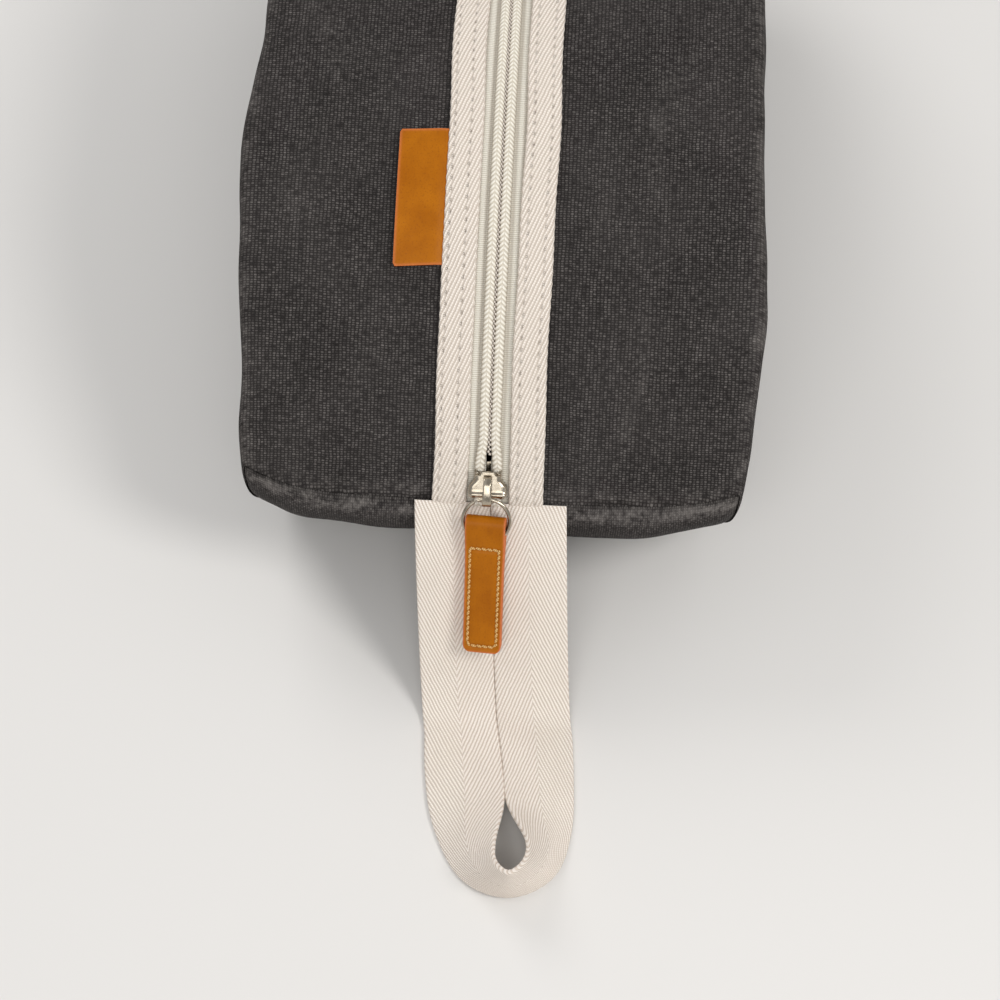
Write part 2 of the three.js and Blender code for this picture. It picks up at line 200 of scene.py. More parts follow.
def line_distance(x, y, points):
    """Distance from each (x, y) to a polyline, and the share of the way along it."""
    best = np.full(np.shape(x), 1e9)
    share = np.zeros(np.shape(x))
    pieces = len(points) - 1
    for k in range(pieces):
        (ax, ay), (bx, by) = points[k], points[k + 1]
        dx, dy = bx - ax, by - ay
        t = np.clip(((x - ax) * dx + (y - ay) * dy) / max(dx * dx + dy * dy, 1e-9), 0, 1)
        d = np.hypot(x - ax - t * dx, y - ay - t * dy)
        share = np.where(d < best, (k + t) / pieces, share)
        best = np.minimum(best, d)
    return best, share


# ---- Meshes ----


def volume(points, faces):
    """Six times the volume inside the faces; below zero when they face inwards."""
    total = 0.0
    for face in faces:
        face = np.asarray(face)
        a, b, c = points[face[:, 0]], points[face[:, 1]], points[face[:, 2]]
        total += np.einsum("ij,ij->", a, np.cross(b, c))
        if face.shape[1] == 4:
            d = points[face[:, 3]]
            total += np.einsum("ij,ij->", a, np.cross(c, d))
    return total


def build(name, points, faces, material, uv=None, normals=None, values=None, ngons=()):
    """One mesh piece. faces is a list of index arrays; uv follows their corners in order.

    values are named numbers given at each point, and ngons are closing faces without UV.
    """
    mesh = bpy.data.meshes.new(name)
    polygons = [list(map(int, f)) for group in faces for f in group]
    polygons += [list(map(int, f)) for f in ngons]
    mesh.from_pydata((np.asarray(points) * MM).tolist(), [], polygons)
    if uv is not None:
        corners = np.concatenate([np.asarray(u).reshape(-1, 2) for u in uv])
        extra = sum(len(f) for f in ngons)
        corners = np.concatenate([corners, np.zeros((extra, 2))])
        mesh.uv_layers.new(name="UVMap").data.foreach_set("uv", corners.ravel())
    for key, numbers in (values or {}).items():
        attribute = mesh.attributes.new(key, "FLOAT", "POINT")
        attribute.data.foreach_set("value", np.asarray(numbers, float).ravel())
    if volume(np.asarray(points), faces) < 0:
        mesh.flip_normals()
    mesh.polygons.foreach_set("use_smooth", [True] * len(mesh.polygons))
    if normals is not None:
        mesh.normals_split_custom_set_from_vertices(np.asarray(normals).tolist())
    mesh.materials.append(material)
    obj = bpy.data.objects.new(name, mesh)
    bpy.context.scene.collection.objects.link(obj)
    return obj


def grid_normals(points, closed=False):
    """Unit normals of a grid of points; closed grids wrap round their second axis."""
    along = np.gradient(points, axis=0)
    if closed:
        across = np.roll(points, -1, axis=1) - np.roll(points, 1, axis=1)
    else:
        across = np.gradient(points, axis=1)
    return unit(np.cross(along, across))


def quads(a, b, c, d):
    """Four-sided faces from four equal arrays of point numbers."""
    return np.stack([a.ravel(), b.ravel(), c.ravel(), d.ravel()], axis=1)


def facing(normals, row, column, axis, sign):
    """The normals, all turned over if the one at row and column faces away from sign on axis."""
    return -normals if normals[row, column, axis] * sign < 0 else normals


def shell(name, outer, normals, thickness, material, uv, values=None):
    """A closed sheet: an outer grid, the same grid set in by thickness, and the edges between."""
    n, m = outer.shape[:2]
    depth = np.broadcast_to(np.asarray(thickness, float), (n, m))
    inner = outer - normals * depth[..., None]
    points = np.concatenate([outer.reshape(-1, 3), inner.reshape(-1, 3)])
    o = np.arange(n * m).reshape(n, m)
    i = o + n * m
    faces = [
        quads(o[:-1, :-1], o[1:, :-1], o[1:, 1:], o[:-1, 1:]),
        quads(i[:-1, :-1], i[:-1, 1:], i[1:, 1:], i[1:, :-1]),
        quads(o[1:, 0], o[:-1, 0], i[:-1, 0], i[1:, 0]),
        quads(o[:-1, -1], o[1:, -1], i[1:, -1], i[:-1, -1]),
        quads(o[0, :-1], o[0, 1:], i[0, 1:], i[0, :-1]),
        quads(o[-1, 1:], o[-1, :-1], i[-1, :-1], i[-1, 1:]),
    ]
    flat = np.concatenate([uv.reshape(-1, 2), uv.reshape(-1, 2)])
    both = np.concatenate([normals.reshape(-1, 3), -normals.reshape(-1, 3)])
    doubled = {k: np.concatenate([v.ravel(), v.ravel()]) for k, v in (values or {}).items()}
    corners = [flat[f] for f in faces]
    return build(name, points, faces, material, corners, both, doubled)


def tube(name, rings, material, run, around, normals=None, values=None):
    """A closed solid through rings of points.

    run is the distance of each ring along the solid, around that of each point round a ring.
    """
    n, m = rings.shape[:2]
    if normals is None:
        normals = grid_normals(rings, closed=True)
        middle = rings.mean(axis=1, keepdims=True)
        if np.einsum("ijk,ijk->", normals, rings - middle) < 0:
            normals = -normals
    index = np.arange(n * m).reshape(n, m)
    nxt = np.roll(index, -1, axis=1)
    face = np.stack([index[:-1], index[1:], nxt[1:], nxt[:-1]], axis=-1).reshape(-1, 4)
    v0 = np.broadcast_to(around[:-1], (n - 1, m))
    v1 = np.broadcast_to(around[1:], (n - 1, m))
    u0 = np.broadcast_to(run[:-1, None], (n - 1, m))
    u1 = np.broadcast_to(run[1:, None], (n - 1, m))
    corner = [np.stack([u, v], -1) for u, v in ((u0, v0), (u1, v0), (u1, v1), (u0, v1))]
    uv = np.stack(corner, axis=2).reshape(-1, 2)
    caps = [index[0], index[-1, ::-1]]
    points = rings.reshape(-1, 3)
    return build(name, points, [face], material, [uv], normals.reshape(-1, 3), values, caps)


def rounded_bar(width, height, radius, sides=5):
    """Outline of a flat bar about the origin, as (across, up) points from the middle of its top."""
    corners = ((1, 1, 90, 0), (1, -1, 0, -90), (-1, -1, -90, -180), (-1, 1, -180, -270))
    points = [(0.0, height / 2)]
    for sx, sz, start, end in corners:
        for a in np.radians(np.linspace(start, end, sides)):
            cx = sx * (width / 2 - radius)
            cz = sz * (height / 2 - radius)
            points.append((cx + radius * math.cos(a), cz + radius * math.sin(a)))
    return np.array(points)


def ring_run(outline):
    """Distance round a closed outline at each of its points, and back at the first."""
    return lengths(np.concatenate([outline, outline[:1]]))


def dress(obj, body=None, nodes=()):
    """Gives a piece its body and hides the frame nodes that it stands for."""
    if body:
        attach(obj, body)
    if nodes:
        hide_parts(*nodes)
    return obj


def nodes_of(kinds, side, end):
    """Frame nodes of the given kinds along one end's half of one side."""
    return [f"{kind}_{length}_{side}" for kind in kinds for length in (end, "middle")]


def bend_with(obj):
    """Bakes a piece's placement into its mesh."""
    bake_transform(obj)


# ---- Materials ----


def rgb(r, g, b):
    """Linear colour of an sRGB one given from 0 to 255."""
    out = []
    for c in (r, g, b):
        c /= 255
        out.append(c / 12.92 if c <= 0.04045 else ((c + 0.055) / 1.055) ** 2.4)
    return (*out, 1.0)


class Finish:
    """Builds one procedural material."""

    def __init__(self, name):
        self.material = bpy.data.materials.new(name)
        self.material.use_nodes = True
        self.tree = self.material.node_tree
        self.tree.nodes.clear()
        self.shader = self.tree.nodes.new("ShaderNodeBsdfPrincipled")
        out = self.tree.nodes.new("ShaderNodeOutputMaterial")
        self.tree.links.new(self.shader.outputs[0], out.inputs["Surface"])
        self._uv = None

    def put(self, socket, value):
        if isinstance(value, bpy.types.NodeSocket):
            self.tree.links.new(value, socket)
        else:
            socket.default_value = value

    def math(self, operation, *values):
        node = self.tree.nodes.new("ShaderNodeMath")
        node.operation = operation
        for socket, value in zip(node.inputs, values):
            self.put(socket, value)
        return node.outputs[0]

    def add(self, a, b):
        return self.math("ADD", a, b)

    def times(self, a, b):
        return self.math("MULTIPLY", a, b)

    def span(self, value, low, high, to_low=0.0, to_high=1.0):
        node = self.tree.nodes.new("ShaderNodeMapRange")
        node.interpolation_type = "SMOOTHSTEP"
        for socket, v in zip(node.inputs[:5], (value, low, high, to_low, to_high)):
            self.put(socket, v)
        return node.outputs[0]

    def mix(self, share, a, b):
        node = self.tree.nodes.new("ShaderNodeMix")
        node.data_type = "RGBA"
        self.put(node.inputs["Factor"], share)
        self.put(node.inputs[6], a)
        self.put(node.inputs[7], b)
        return node.outputs[2]

    def uv(self):
        if self._uv is None:
            node = self.tree.nodes.new("ShaderNodeUVMap")
            node.uv_map = "UVMap"
            parts = self.tree.nodes.new("ShaderNodeSeparateXYZ")
            self.tree.links.new(node.outputs[0], parts.inputs[0])
            self._uv = (node.outputs[0], parts.outputs[0], parts.outputs[1])
        return self._uv

    def noise(self, size, detail=2.0, stretch=(1, 1, 1)):
        """Noise from 0 to 1 whose features are about size millimetres."""
        spread = self.tree.nodes.new("ShaderNodeMapping")
        self.put(spread.inputs["Vector"], self.uv()[0])
        spread.inputs["Scale"].default_value = stretch
        node = self.tree.nodes.new("ShaderNodeTexNoise")
        self.tree.links.new(spread.outputs[0], node.inputs["Vector"])
        node.inputs["Scale"].default_value = 1 / size
        node.inputs["Detail"].default_value = detail
        return node.outputs[0]

    def attribute(self, name):
        node = self.tree.nodes.new("ShaderNodeAttribute")
        node.attribute_name = name
        return node.outputs["Fac"]

    def wave(self, phase):
        """A wave from 0 to 1 of a phase counted in turns."""
        turned = self.times(phase, 2 * math.pi)
        return self.add(self.times(self.math("SINE", turned), 0.5), 0.5)

    def bump(self, height, depth, strength=1.0):
        """Relief depth millimetres deep from a height of 0 to 1."""
        node = self.tree.nodes.new("ShaderNodeBump")
        node.inputs["Strength"].default_value = strength
        node.inputs["Distance"].default_value = depth * MM
        self.put(node.inputs["Height"], height)
        self.tree.links.new(node.outputs[0], self.shader.inputs["Normal"])

    def done(self, colour, roughness, metallic=0.0, specular=0.5, sheen=0.0):
        self.put(self.shader.inputs["Base Color"], colour)
        self.put(self.shader.inputs["Roughness"], roughness)
        self.shader.inputs["Metallic"].default_value = metallic
        self.shader.inputs["Specular IOR Level"].default_value = specular
        self.shader.inputs["Sheen Weight"].default_value = sheen
        return self.material


def canvas_finish():
    f = Finish("waxed_canvas")
    _, u, v = f.uv()
    drift = f.times(f.noise(7.0), 0.9)
    a = f.math("COSINE", f.times(f.add(u, drift), 2 * math.pi / 1.26))
    b = f.math("COSINE", f.times(f.add(v, drift), 2 * math.pi / 1.94))
    dots = f.span(f.times(a, b), 0.0, 0.75)
    other = f.span(f.times(f.times(a, b), -1.0), 0.25, 0.9)
    grain = f.noise(0.4, 3.0)
    slubs = f.noise(1.1, 3.0, (1.0, 0.55, 1.0))
    cloud = f.noise(24.0, 4.0)
    patch = f.noise(7.0, 4.0)
    base = f.mix(f.span(cloud, 0.3, 0.72), rgb(31, 28, 27), rgb(44, 41, 40))
    lit = f.times(f.add(dots, f.times(other, 0.8)), f.span(slubs, 0.22, 0.78))
    lit = f.times(lit, f.span(patch, 0.15, 0.85, 0.45, 0.95))
    base = f.mix(lit, base, rgb(118, 113, 110))
    flecks = f.times(f.span(slubs, 0.6, 0.8), f.span(grain, 0.5, 0.7))
    base = f.mix(f.times(flecks, 0.5), base, rgb(126, 121, 117))
    base = f.mix(f.times(f.span(grain, 0.52, 0.8), 0.35), base, rgb(22, 20, 19))
    # Paler along the creases, fold ridges and seams: partly wear, partly painted highlight.
    wear_and_highlight_mix = f.times(f.attribute("wear_and_highlight"), f.span(f.add(patch, f.times(slubs, 0.8)), 0.65, 1.35))
    base = f.mix(f.times(wear_and_highlight_mix, 0.8), base, rgb(122, 117, 113))
    f.bump(f.add(f.add(f.times(dots, 0.6), f.times(other, 0.45)), f.times(grain, 0.6)), 0.16)
    return f.done(base, f.span(cloud, 0.2, 0.8, 0.7, 0.85), specular=0.12)


def lining_finish():
    f = Finish("cotton_lining")
    _, u, v = f.uv()
    a = f.math("COSINE", f.times(u, 2 * math.pi / 0.5))
    b = f.math("COSINE", f.times(v, 2 * math.pi / 0.5))
    weave = f.span(f.times(a, b), -0.6, 0.9)
    cloud = f.noise(18.0, 3.0)
    base = f.mix(cloud, rgb(158, 148, 132), rgb(182, 172, 156))
    base = f.mix(f.times(weave, 0.35), base, rgb(205, 197, 182))
    f.bump(weave, 0.05)
    return f.done(base, 0.9, specular=0.2, sheen=0.05)


def twill(f, phase, yarn_length, cloud, tones):
    """Tone and relief of a twill from its rib phase; tones are dark, pale, cloudy and fuzzy.

    cloud is the size of the faint stains and how much they show.
    """
    u = f.uv()[1]
    rib = f.span(f.wave(phase), 0.08, 0.6)
    yarn = f.wave(f.add(f.times(u, 1 / yarn_length), f.times(phase, 0.5)))
    fuzz = f.noise(0.35, 3.0)
    dark, pale, cloudy, fuzzy = tones
    height = f.add(f.times(rib, 0.75), f.times(f.times(yarn, rib), 0.35))
    height = f.add(height, f.times(fuzz, 0.25))
    tone = f.mix(f.times(rib, f.span(yarn, 0.0, 0.9, 0.55, 1.0)), dark, pale)
    tone = f.mix(f.times(f.span(f.noise(cloud[0], 3.0), 0.4, 0.8), cloud[1]), tone, cloudy)
    tone = f.mix(f.times(f.span(fuzz, 0.5, 0.85), 0.2), tone, fuzzy)
    return tone, height


def wobble(f):
    return f.times(f.add(f.noise(3.0, 2.0), -0.5), 0.5)


def webbing_finish():
    """Herringbone: ribs that lean one way on one half of the strip and the other way on the other."""
    f = Finish("herringbone_webbing")
    _, u, v = f.uv()
    lean = f.math("SIGN", f.add(v, -STRAND / 2))
    phase = f.add(f.add(f.times(v, 1 / 0.96), f.times(f.times(u, 1 / 2.1), lean)), wobble(f))
    pale, dark = rgb(248, 240, 231), rgb(210, 196, 182)
    tone, height = twill(f, phase, 0.48, (14.0, 0.22), (dark, pale, dark, dark))
    f.bump(height, 0.17)
    return f.done(tone, 0.92, specular=0.1)


def trim_finish():
    f = Finish("herringbone_trim")
    _, u, v = f.uv()
    phase = f.add(f.add(f.times(v, 1 / 1.02), f.times(u, -1 / 2.4)), wobble(f))
    tones = (rgb(205, 192, 178), rgb(240, 231, 221), rgb(214, 202, 189), rgb(196, 184, 170))
    tone, height = twill(f, phase, 0.62, (11.0, 0.2), tones)
    # Painted shade in the stitch pits.
    pit_shade = f.attribute("pit_shade")
    tone = f.mix(f.times(pit_shade, 0.8), tone, rgb(104, 90, 76))
    f.bump(f.add(height, f.times(pit_shade, -1.2)), 0.2)
    return f.done(tone, 0.92, specular=0.15, sheen=0.08)


def tape_finish():
    f = Finish("zip_tape")
    _, u, v = f.uv()
    rib = f.wave(f.add(f.times(u, 1 / 0.55), f.times(f.noise(2.5), 0.3)))
    yarn = f.wave(f.times(v, 1 / 0.4))
    fuzz = f.noise(0.3, 2.0)
    tone = f.mix(f.times(rib, f.add(f.times(yarn, 0.3), 0.7)), rgb(210, 204, 190), rgb(242, 239, 229))
    tone = f.mix(f.times(f.span(fuzz, 0.5, 0.8), 0.15), tone, rgb(170, 164, 152))
    # Painted shade and shadow from the shade attribute, mixed towards brown.
    shade = f.attribute("shade")
    tone = f.mix(f.times(shade, 0.6), tone, rgb(128, 106, 80))
    f.bump(f.add(rib, f.times(yarn, 0.3)), 0.12)
    return f.done(tone, 0.85, specular=0.25)


def coil_finish():
    """A knitted cord: stitches lean both ways from its crown, like a braid."""
    f = Finish("zip_cord")
    _, u, v = f.uv()
    slant = f.math("ABSOLUTE", v)
    knit = f.wave(f.add(f.times(u, 1 / 1.25), f.times(slant, 0.62)))
    loop = f.span(knit, 0.15, 0.7)
    strand = f.wave(f.add(f.times(u, 1 / 0.4), f.times(slant, 1.7)))
    groove = f.span(slant, 0.0, 0.22)
    light = f.times(loop, f.add(f.times(strand, 0.25), 0.75))
    tone = f.mix(light, rgb(206, 197, 180), rgb(244, 239, 227))
    # Painted shade down the groove at the crown, where the two leans meet.
    tone = f.mix(f.times(f.math("SUBTRACT", 1.0, groove), 0.4), tone, rgb(196, 184, 164))
    # Painted shade along both edges of the cord.
    shade = f.attribute("shade")
    tone = f.mix(f.times(shade, 0.55), tone, rgb(136, 116, 90))
    f.bump(f.add(f.times(loop, groove), f.times(strand, 0.2)), 0.12)
    return f.done(tone, 0.6, specular=0.35)


def leather_finish():
    f = Finish("tan_leather")
    pores = f.noise(0.5, 4.0)
    cloud = f.noise(9.0, 3.0)
    creases = f.noise(2.2, 4.0, (0.6, 1.0, 1.0))
    tone = f.mix(f.span(cloud, 0.1, 0.9), rgb(150, 82, 0), rgb(176, 104, 2))
    tone = f.mix(f.times(f.span(creases, 0.5, 0.8), 0.18), tone, rgb(130, 68, 2))
    tone = f.mix(f.times(f.span(pores, 0.5, 0.75), 0.4), tone, rgb(122, 62, 4))
    edge = f.attribute("edge")
    fibre = f.mix(f.noise(0.6, 3.0), rgb(172, 86, 40), rgb(214, 126, 76))
    tone = f.mix(edge, tone, fibre)
    f.bump(f.add(f.times(pores, 0.5), f.times(creases, 0.8)), 0.07)
    return f.done(tone, f.span(cloud, 0.2, 0.8, 0.36, 0.48), specular=0.14)


def nickel_finish():
    f = Finish("satin_nickel")
    scratch = f.noise(0.25, 3.0, (1.0, 0.08, 1.0))
    cloud = f.noise(2.5, 3.0)
    tone = f.mix(f.span(cloud, 0.3, 0.7), rgb(156, 146, 130), rgb(192, 182, 165))
    f.bump(scratch, 0.01)
    return f.done(tone, f.span(f.add(scratch, cloud), 0.6, 1.4, 0.14, 0.27), metallic=1.0)


def thread_finish(name, pale, dark):
    f = Finish(name)
    _, u, v = f.uv()
    ply = f.wave(f.add(f.times(u, 1 / 0.55), f.times(v, 1.0)))
    tone = f.mix(f.times(ply, f.add(f.times(f.noise(0.5), 0.6), 0.6)), dark, pale)
    f.bump(ply, 0.12)
    return f.done(tone, 0.7, specular=0.3)


def floor_finish():
    f = Finish("pale_floor")
    return f.done(rgb(219, 217, 214), 0.75, specular=0.2)


CANVAS_LOOK = canvas_finish()
LINING_LOOK = lining_finish()
TRIM_LOOK = trim_finish()
TAPE_LOOK = tape_finish()
CORD_LOOK = coil_finish()
WEBBING_LOOK = webbing_finish()
LEATHER_LOOK = leather_finish()
NICKEL_LOOK = nickel_finish()
TRIM_THREAD_LOOK = thread_finish("trim_thread", rgb(238, 230, 220), rgb(170, 158, 146))
TAB_THREAD_LOOK = thread_finish("tab_thread", rgb(240, 204, 140), rgb(176, 124, 56))


# ---- Canvas shell ----


def crease_half(side, y):
    """Half width of the top at y, eased between the stations of CREASE_HALF."""
    width = np.interp(y, CREASE_AT, CREASE_HALF[side])
    for shift in (-12, 12):
        width = width + np.interp(y + shift, CREASE_AT, CREASE_HALF[side])
    return width / 3


def end_line(height, pillow=0.0):
    """The end of the bag in side view as (y, z), from the base up; pillow swells it."""
    high = (END_HIGH[0] + END_PILLOW[0] * pillow, END_HIGH[1] + END_PILLOW[1] * pillow)
    return bezier((-BASE_HALF_LENGTH, 0), END_LOW, high, (-SEAM_Y, SEAM_Z), height)


def corner_share(t):
    """1 at the very ends of the bag, falling to 0 within a few millimetres."""
    return np.exp(-(1 - abs(t)) * SEAM_Y / CORNER_REACH)


def side_points(side, t, height):
    """Points of a side at share t of the half length, at shares height of the way up to the crease."""
    way = -1 if t < 0 else 1
    back = CORNER_BACK[side]
    far = abs(t)
    top_y = -(SEAM_Y - back) * far
    crease_z = arc_z(CREASE_R, top_y)
    curve = end_line(height)
    end_y = curve[:, 0] + back * height
    end_z = curve[:, 1] * (arc_z(CREASE_R, SEAM_Y - back) / SEAM_Z)
    corner_y = lerp(-BASE_HALF_LENGTH, -(SEAM_Y - back), height)
    pull = np.clip((far - 0.45) / 0.55, 0, 1) ** 1.5
    y = lerp(-BASE_HALF_LENGTH * far, top_y, height) + (end_y - corner_y) * pull
    y = y + CORNER_ROUND * corner_share(t)
    sag = (end_z - height * arc_z(CREASE_R, SEAM_Y - back)) * pull
    z = height * crease_z + sag
    full = 1 - far**4
    crease = crease_half(side, way * -top_y)
    x = lerp(BASE_HALF_WIDTH, crease, smooth(height) * 0.4 + height * 0.6)
    x = x + SIDE_BULGE * 4 * height * (1 - height) * (0.3 + 0.7 * full)
    x = x - CORNER_ROUND * corner_share(t) * np.clip(height * 4, 0.4, 1)
    return np.stack([SIDES[side] * x, -way * y, z], axis=1)


def canvas_row(side, t):
    """One line over a half, from under the trim to the crease and down the side to the base."""
    wall = side_points(side, t, np.linspace(1, 0, 120))
    crease = abs(wall[0, 0])
    across = np.linspace(CANVAS_IN, crease, 90)
    reach = SEAM_Y - CORNER_BACK[side] * (across / crease) ** 6
    y = t * reach
    wall_shift = wall[0, 1] - y[-1]
    y = y + wall_shift * (across / crease) ** 8
    top = np.stack([SIDES[side] * across, y, arc_z(TOP_R, y)], axis=1)
    line = soften(np.concatenate([top, wall[1:]]), CREASE_ROUND)
    run = lengths(line)
    to_crease = crease - CANVAS_IN
    at = np.concatenate(
        [
            np.linspace(0, to_crease, TOP_COLUMNS, endpoint=False),
            np.linspace(to_crease, run[-1], SIDE_COLUMNS),
        ]
    )
    return resample(line, at), at


def stations():
    """Shares of the half length, close together at the ends where the seams roll in."""
    near = 1 - np.array([0, 0.003, 0.006, 0.0095, 0.0135, 0.018, 0.024, 0.031])
    middle = np.linspace(-0.96, 0.96, 157)
    return np.concatenate([-near, middle, near[::-1]])


def seam_drop(distance):
    """How far cloth dips where it turns in to a seam, by its distance from the seam."""
    return SEAM_DROP * np.clip(1 - distance / SEAM_ROLL, 0, 1) ** 2


def fold_field(side, x, y):
    """Height and paleness of the packed-in ridges at points of the top; the paleness is partly wear and
    partly painted highlight.
    """
    height = np.zeros(np.shape(x))
    pale = np.zeros(np.shape(x))
    for fold_side, points, rise, width, tone in FOLDS:
        if fold_side != side:
            continue
        d, share = line_distance(x, y, points)
        fade = 0.35 + 0.65 * np.sin(np.pi * np.clip(share, 0.02, 0.98))
        bell = np.exp(-((d / width) ** 2)) * fade
        height += rise * bell
        pale += tone * np.exp(-((d / (0.55 * width)) ** 2)) * fade
    return height, pale


def half_canvas(side):
    """The whole canvas of one half: points, normals, UV in millimetres and paleness that is partly wear
    and partly painted highlight.
    """
    t = stations()
    rows = [canvas_row(side, a) for a in t]
    grid = np.array([r[0] for r in rows])
    run = np.array([r[1] for r in rows])
    normals = facing(grid_normals(grid), len(t) // 2, 5, 2, 1)
    from_end = (1 - np.abs(t))[:, None] * SEAM_Y
    to_crease = run - run[:, TOP_COLUMNS][:, None]
    on_top = smooth(-to_crease / 6)
    calm = smooth(from_end / 14) * smooth(run / 8) * smooth(grid[..., 2] / 12)
    wave = 0.42 * ripple(grid, 52, 3 + SIDES[side]) + 0.16 * ripple(grid, 21, 11 + SIDES[side])
    rise, pale = fold_field(side, grid[..., 0], grid[..., 1])
    rise = calm * (wave * (0.65 + 0.5 * (1 - on_top)) + rise * on_top)
    beat = np.sin(2 * math.pi * arc_run(grid[..., 1]) / STITCH)
    pucker = 0.1 * beat * np.exp(-(((run - 5.2) / 1.8) ** 2))
    drop = seam_drop(from_end) * smooth((run - 2) / 3) * (0.4 + 0.6 * on_top)
    grid = grid + normals * (rise + pucker - drop)[..., None]
    grid[..., 2] = np.maximum(grid[..., 2], TABLE_CLEAR)
    normals = facing(grid_normals(grid), len(t) // 2, 5, 2, 1)
    share = smooth(to_crease / 30)
    uv_along = lerp(arc_run(grid[..., 1]), grid[..., 1], share)
    uv = np.stack([uv_along, run + UV_RIGHT * (side == "right")], axis=-1)
    # Paler along the crease, near the end seams, near the table and on the fold ridges: partly wear,
    # partly painted highlight.
    wear_and_highlight = 0.55 * np.exp(-((to_crease / 2.2) ** 2))
    wear_and_highlight = wear_and_highlight + 0.35 * np.exp(-(((from_end - 1.6) / 1.3) ** 2))
    wear_and_highlight = wear_and_highlight + 0.3 * np.exp(-(grid[..., 2] / 2.5)) + 0.5 * pale * on_top
    thickness = thinned(np.minimum(from_end + 0 * run, run[:, -1:] - run))
    return grid, normals, uv, np.clip(wear_and_highlight, 0, 1), thickness


def thinned(distance):
    """Canvas thickness near a folded edge, by distance from the edge, so that the edge looks round."""
    share = np.clip(distance / EDGE_THIN, 0, 1)
    return np.maximum(CANVAS * np.sqrt(share * (2 - share)), 0.08)


def split_ends(count):
    """Row ranges of the front and rear halves of a grid; both hold the middle row."""
    middle = count // 2
    return {"front": slice(0, middle + 1), "rear": slice(middle, count)}


def build_canvas():
    """The canvas of both halves, front and rear, and the lining inside each."""
    for side in SIDES:
        grid, normals, uv, wear_and_highlight, thickness = half_canvas(side)
        for end, rows in split_ends(len(grid)).items():
            name = f"canvas_{end}_{side}"
            values = {"wear_and_highlight": wear_and_highlight[rows]}
            obj = shell(name, grid[rows], normals[rows], thickness[rows], CANVAS_LOOK, uv[rows], values)
            dress(obj, nodes=nodes_of(("top_panel", "side_panel"), side, end))
            bend_with(obj)
            build_lining(side, end, grid[rows], normals[rows], uv[rows])


def build_lining(side, end, grid, normals, uv):
    """The lining of one quarter, a little inside its canvas and stopping short of every seam."""
    keep = slice(2, None, 2) if end == "front" else slice(0, -2, 2)
    inset = (grid - normals * (CANVAS + LINING_GAP))[keep, ::2]
    name = f"lining_{end}_{side}"
    obj = shell(name, inset, normals[keep, ::2], LINING, LINING_LOOK, uv[keep, ::2])
    dress(obj, nodes=nodes_of(("top_lining", "side_lining"), side, end))
    bend_with(obj)


def end_grid(end, columns=90, rows=60):
    """The canvas of an end below its seam, swollen in the middle and tucked in at its edges."""
    height = np.linspace(0, 1, rows)
    left = side_points("left", -1.0, height)
    right = side_points("right", -1.0, height)
    spread = np.sin(np.linspace(-1, 1, columns) * math.pi / 2)
    grid = np.zeros((columns, rows, 3))
    for k, a in enumerate(spread):
        under_loop = math.exp(-((a / 0.42) ** 4))
        swell = (1 - abs(a) ** 2.4) * (1 - 0.45 * under_loop) * (1 - 0.3 * max(a, 0))
        curve = end_line(height, swell)
        corner = left if a < 0 else right
        share = abs(a) ** 6
        grid[k, :, 0] = lerp(left[:, 0], right[:, 0], (a + 1) / 2)
        grid[k, :, 1] = lerp(curve[:, 0], corner[:, 1], share)
        grid[k, :, 2] = lerp(curve[:, 1], corner[:, 2], share) - 0.25 * height**8
    tuck_top = UNDERLAP * height[None, :] ** 14
    tuck_side = np.abs(spread)[:, None] ** 18
    grid[..., 1] += np.maximum(tuck_top * (1 - 0.6 * tuck_side), 0.3 * UNDERLAP * tuck_side)
    grid[..., 0] -= np.sign(spread)[:, None] * 0.3 * CANVAS * tuck_side
    normals = facing(grid_normals(grid), columns // 2, rows // 2, 1, -1)
    to_side = np.abs(grid[..., 0] - np.where(grid[..., 0] < 0, left[:, 0], right[:, 0]))
    to_top = np.broadcast_to((1 - height)[None, :] * 58, to_side.shape)
    calm = smooth(to_side / 10) * smooth(to_top / 6) * smooth(height[None, :] * 6)
    wave = 0.4 * ripple(grid, 40, 21) + 0.18 * ripple(grid, 16, 22)
    tuck = 0.4 * seam_drop(to_side) + END_TUCK * seam_drop(to_top)
    grid = grid + normals * (wave * calm - tuck)[..., None]
    grid[..., 2] = np.maximum(grid[..., 2], TABLE_CLEAR)
    normals = facing(grid_normals(grid), columns // 2, rows // 2, 1, -1)
    uv = np.stack([grid[..., 0], to_top + UV_END * ENDS[end]], axis=-1)
    # Paler along the side corners and in a band just under the seam: partly wear, partly painted
    # highlight.
    wear_and_highlight = 0.4 * np.exp(-(to_side / 2.0)) + 1.0 * np.exp(-(((to_top - 4) / 3.4) ** 2))
    if end == "rear":
        grid = grid * (1, -1, 1)
        normals = normals * (1, -1, 1)
    return grid, normals, uv, wear_and_highlight, thinned(np.minimum(to_side, to_top))


def build_ends():
    """The canvas and lining of the two ends."""
    for end in ENDS:
        grid, normals, uv, wear_and_highlight, thickness = end_grid(end)
        obj = shell(f"end_canvas_{end}", grid, normals, thickness, CANVAS_LOOK, uv, {"wear_and_highlight": wear_and_highlight})
        dress(obj, "bag_body", [f"end_panel_{end}"])
        keep = (slice(4, -4, 2), slice(2, -3, 2))
        inner = (grid - normals * (CANVAS + LINING_GAP))[keep]
        name = f"end_lining_{end}_cloth"
        obj = shell(name, inner, normals[keep], LINING, LINING_LOOK, uv[keep])
        dress(obj, "bag_body", [f"end_lining_{end}"])


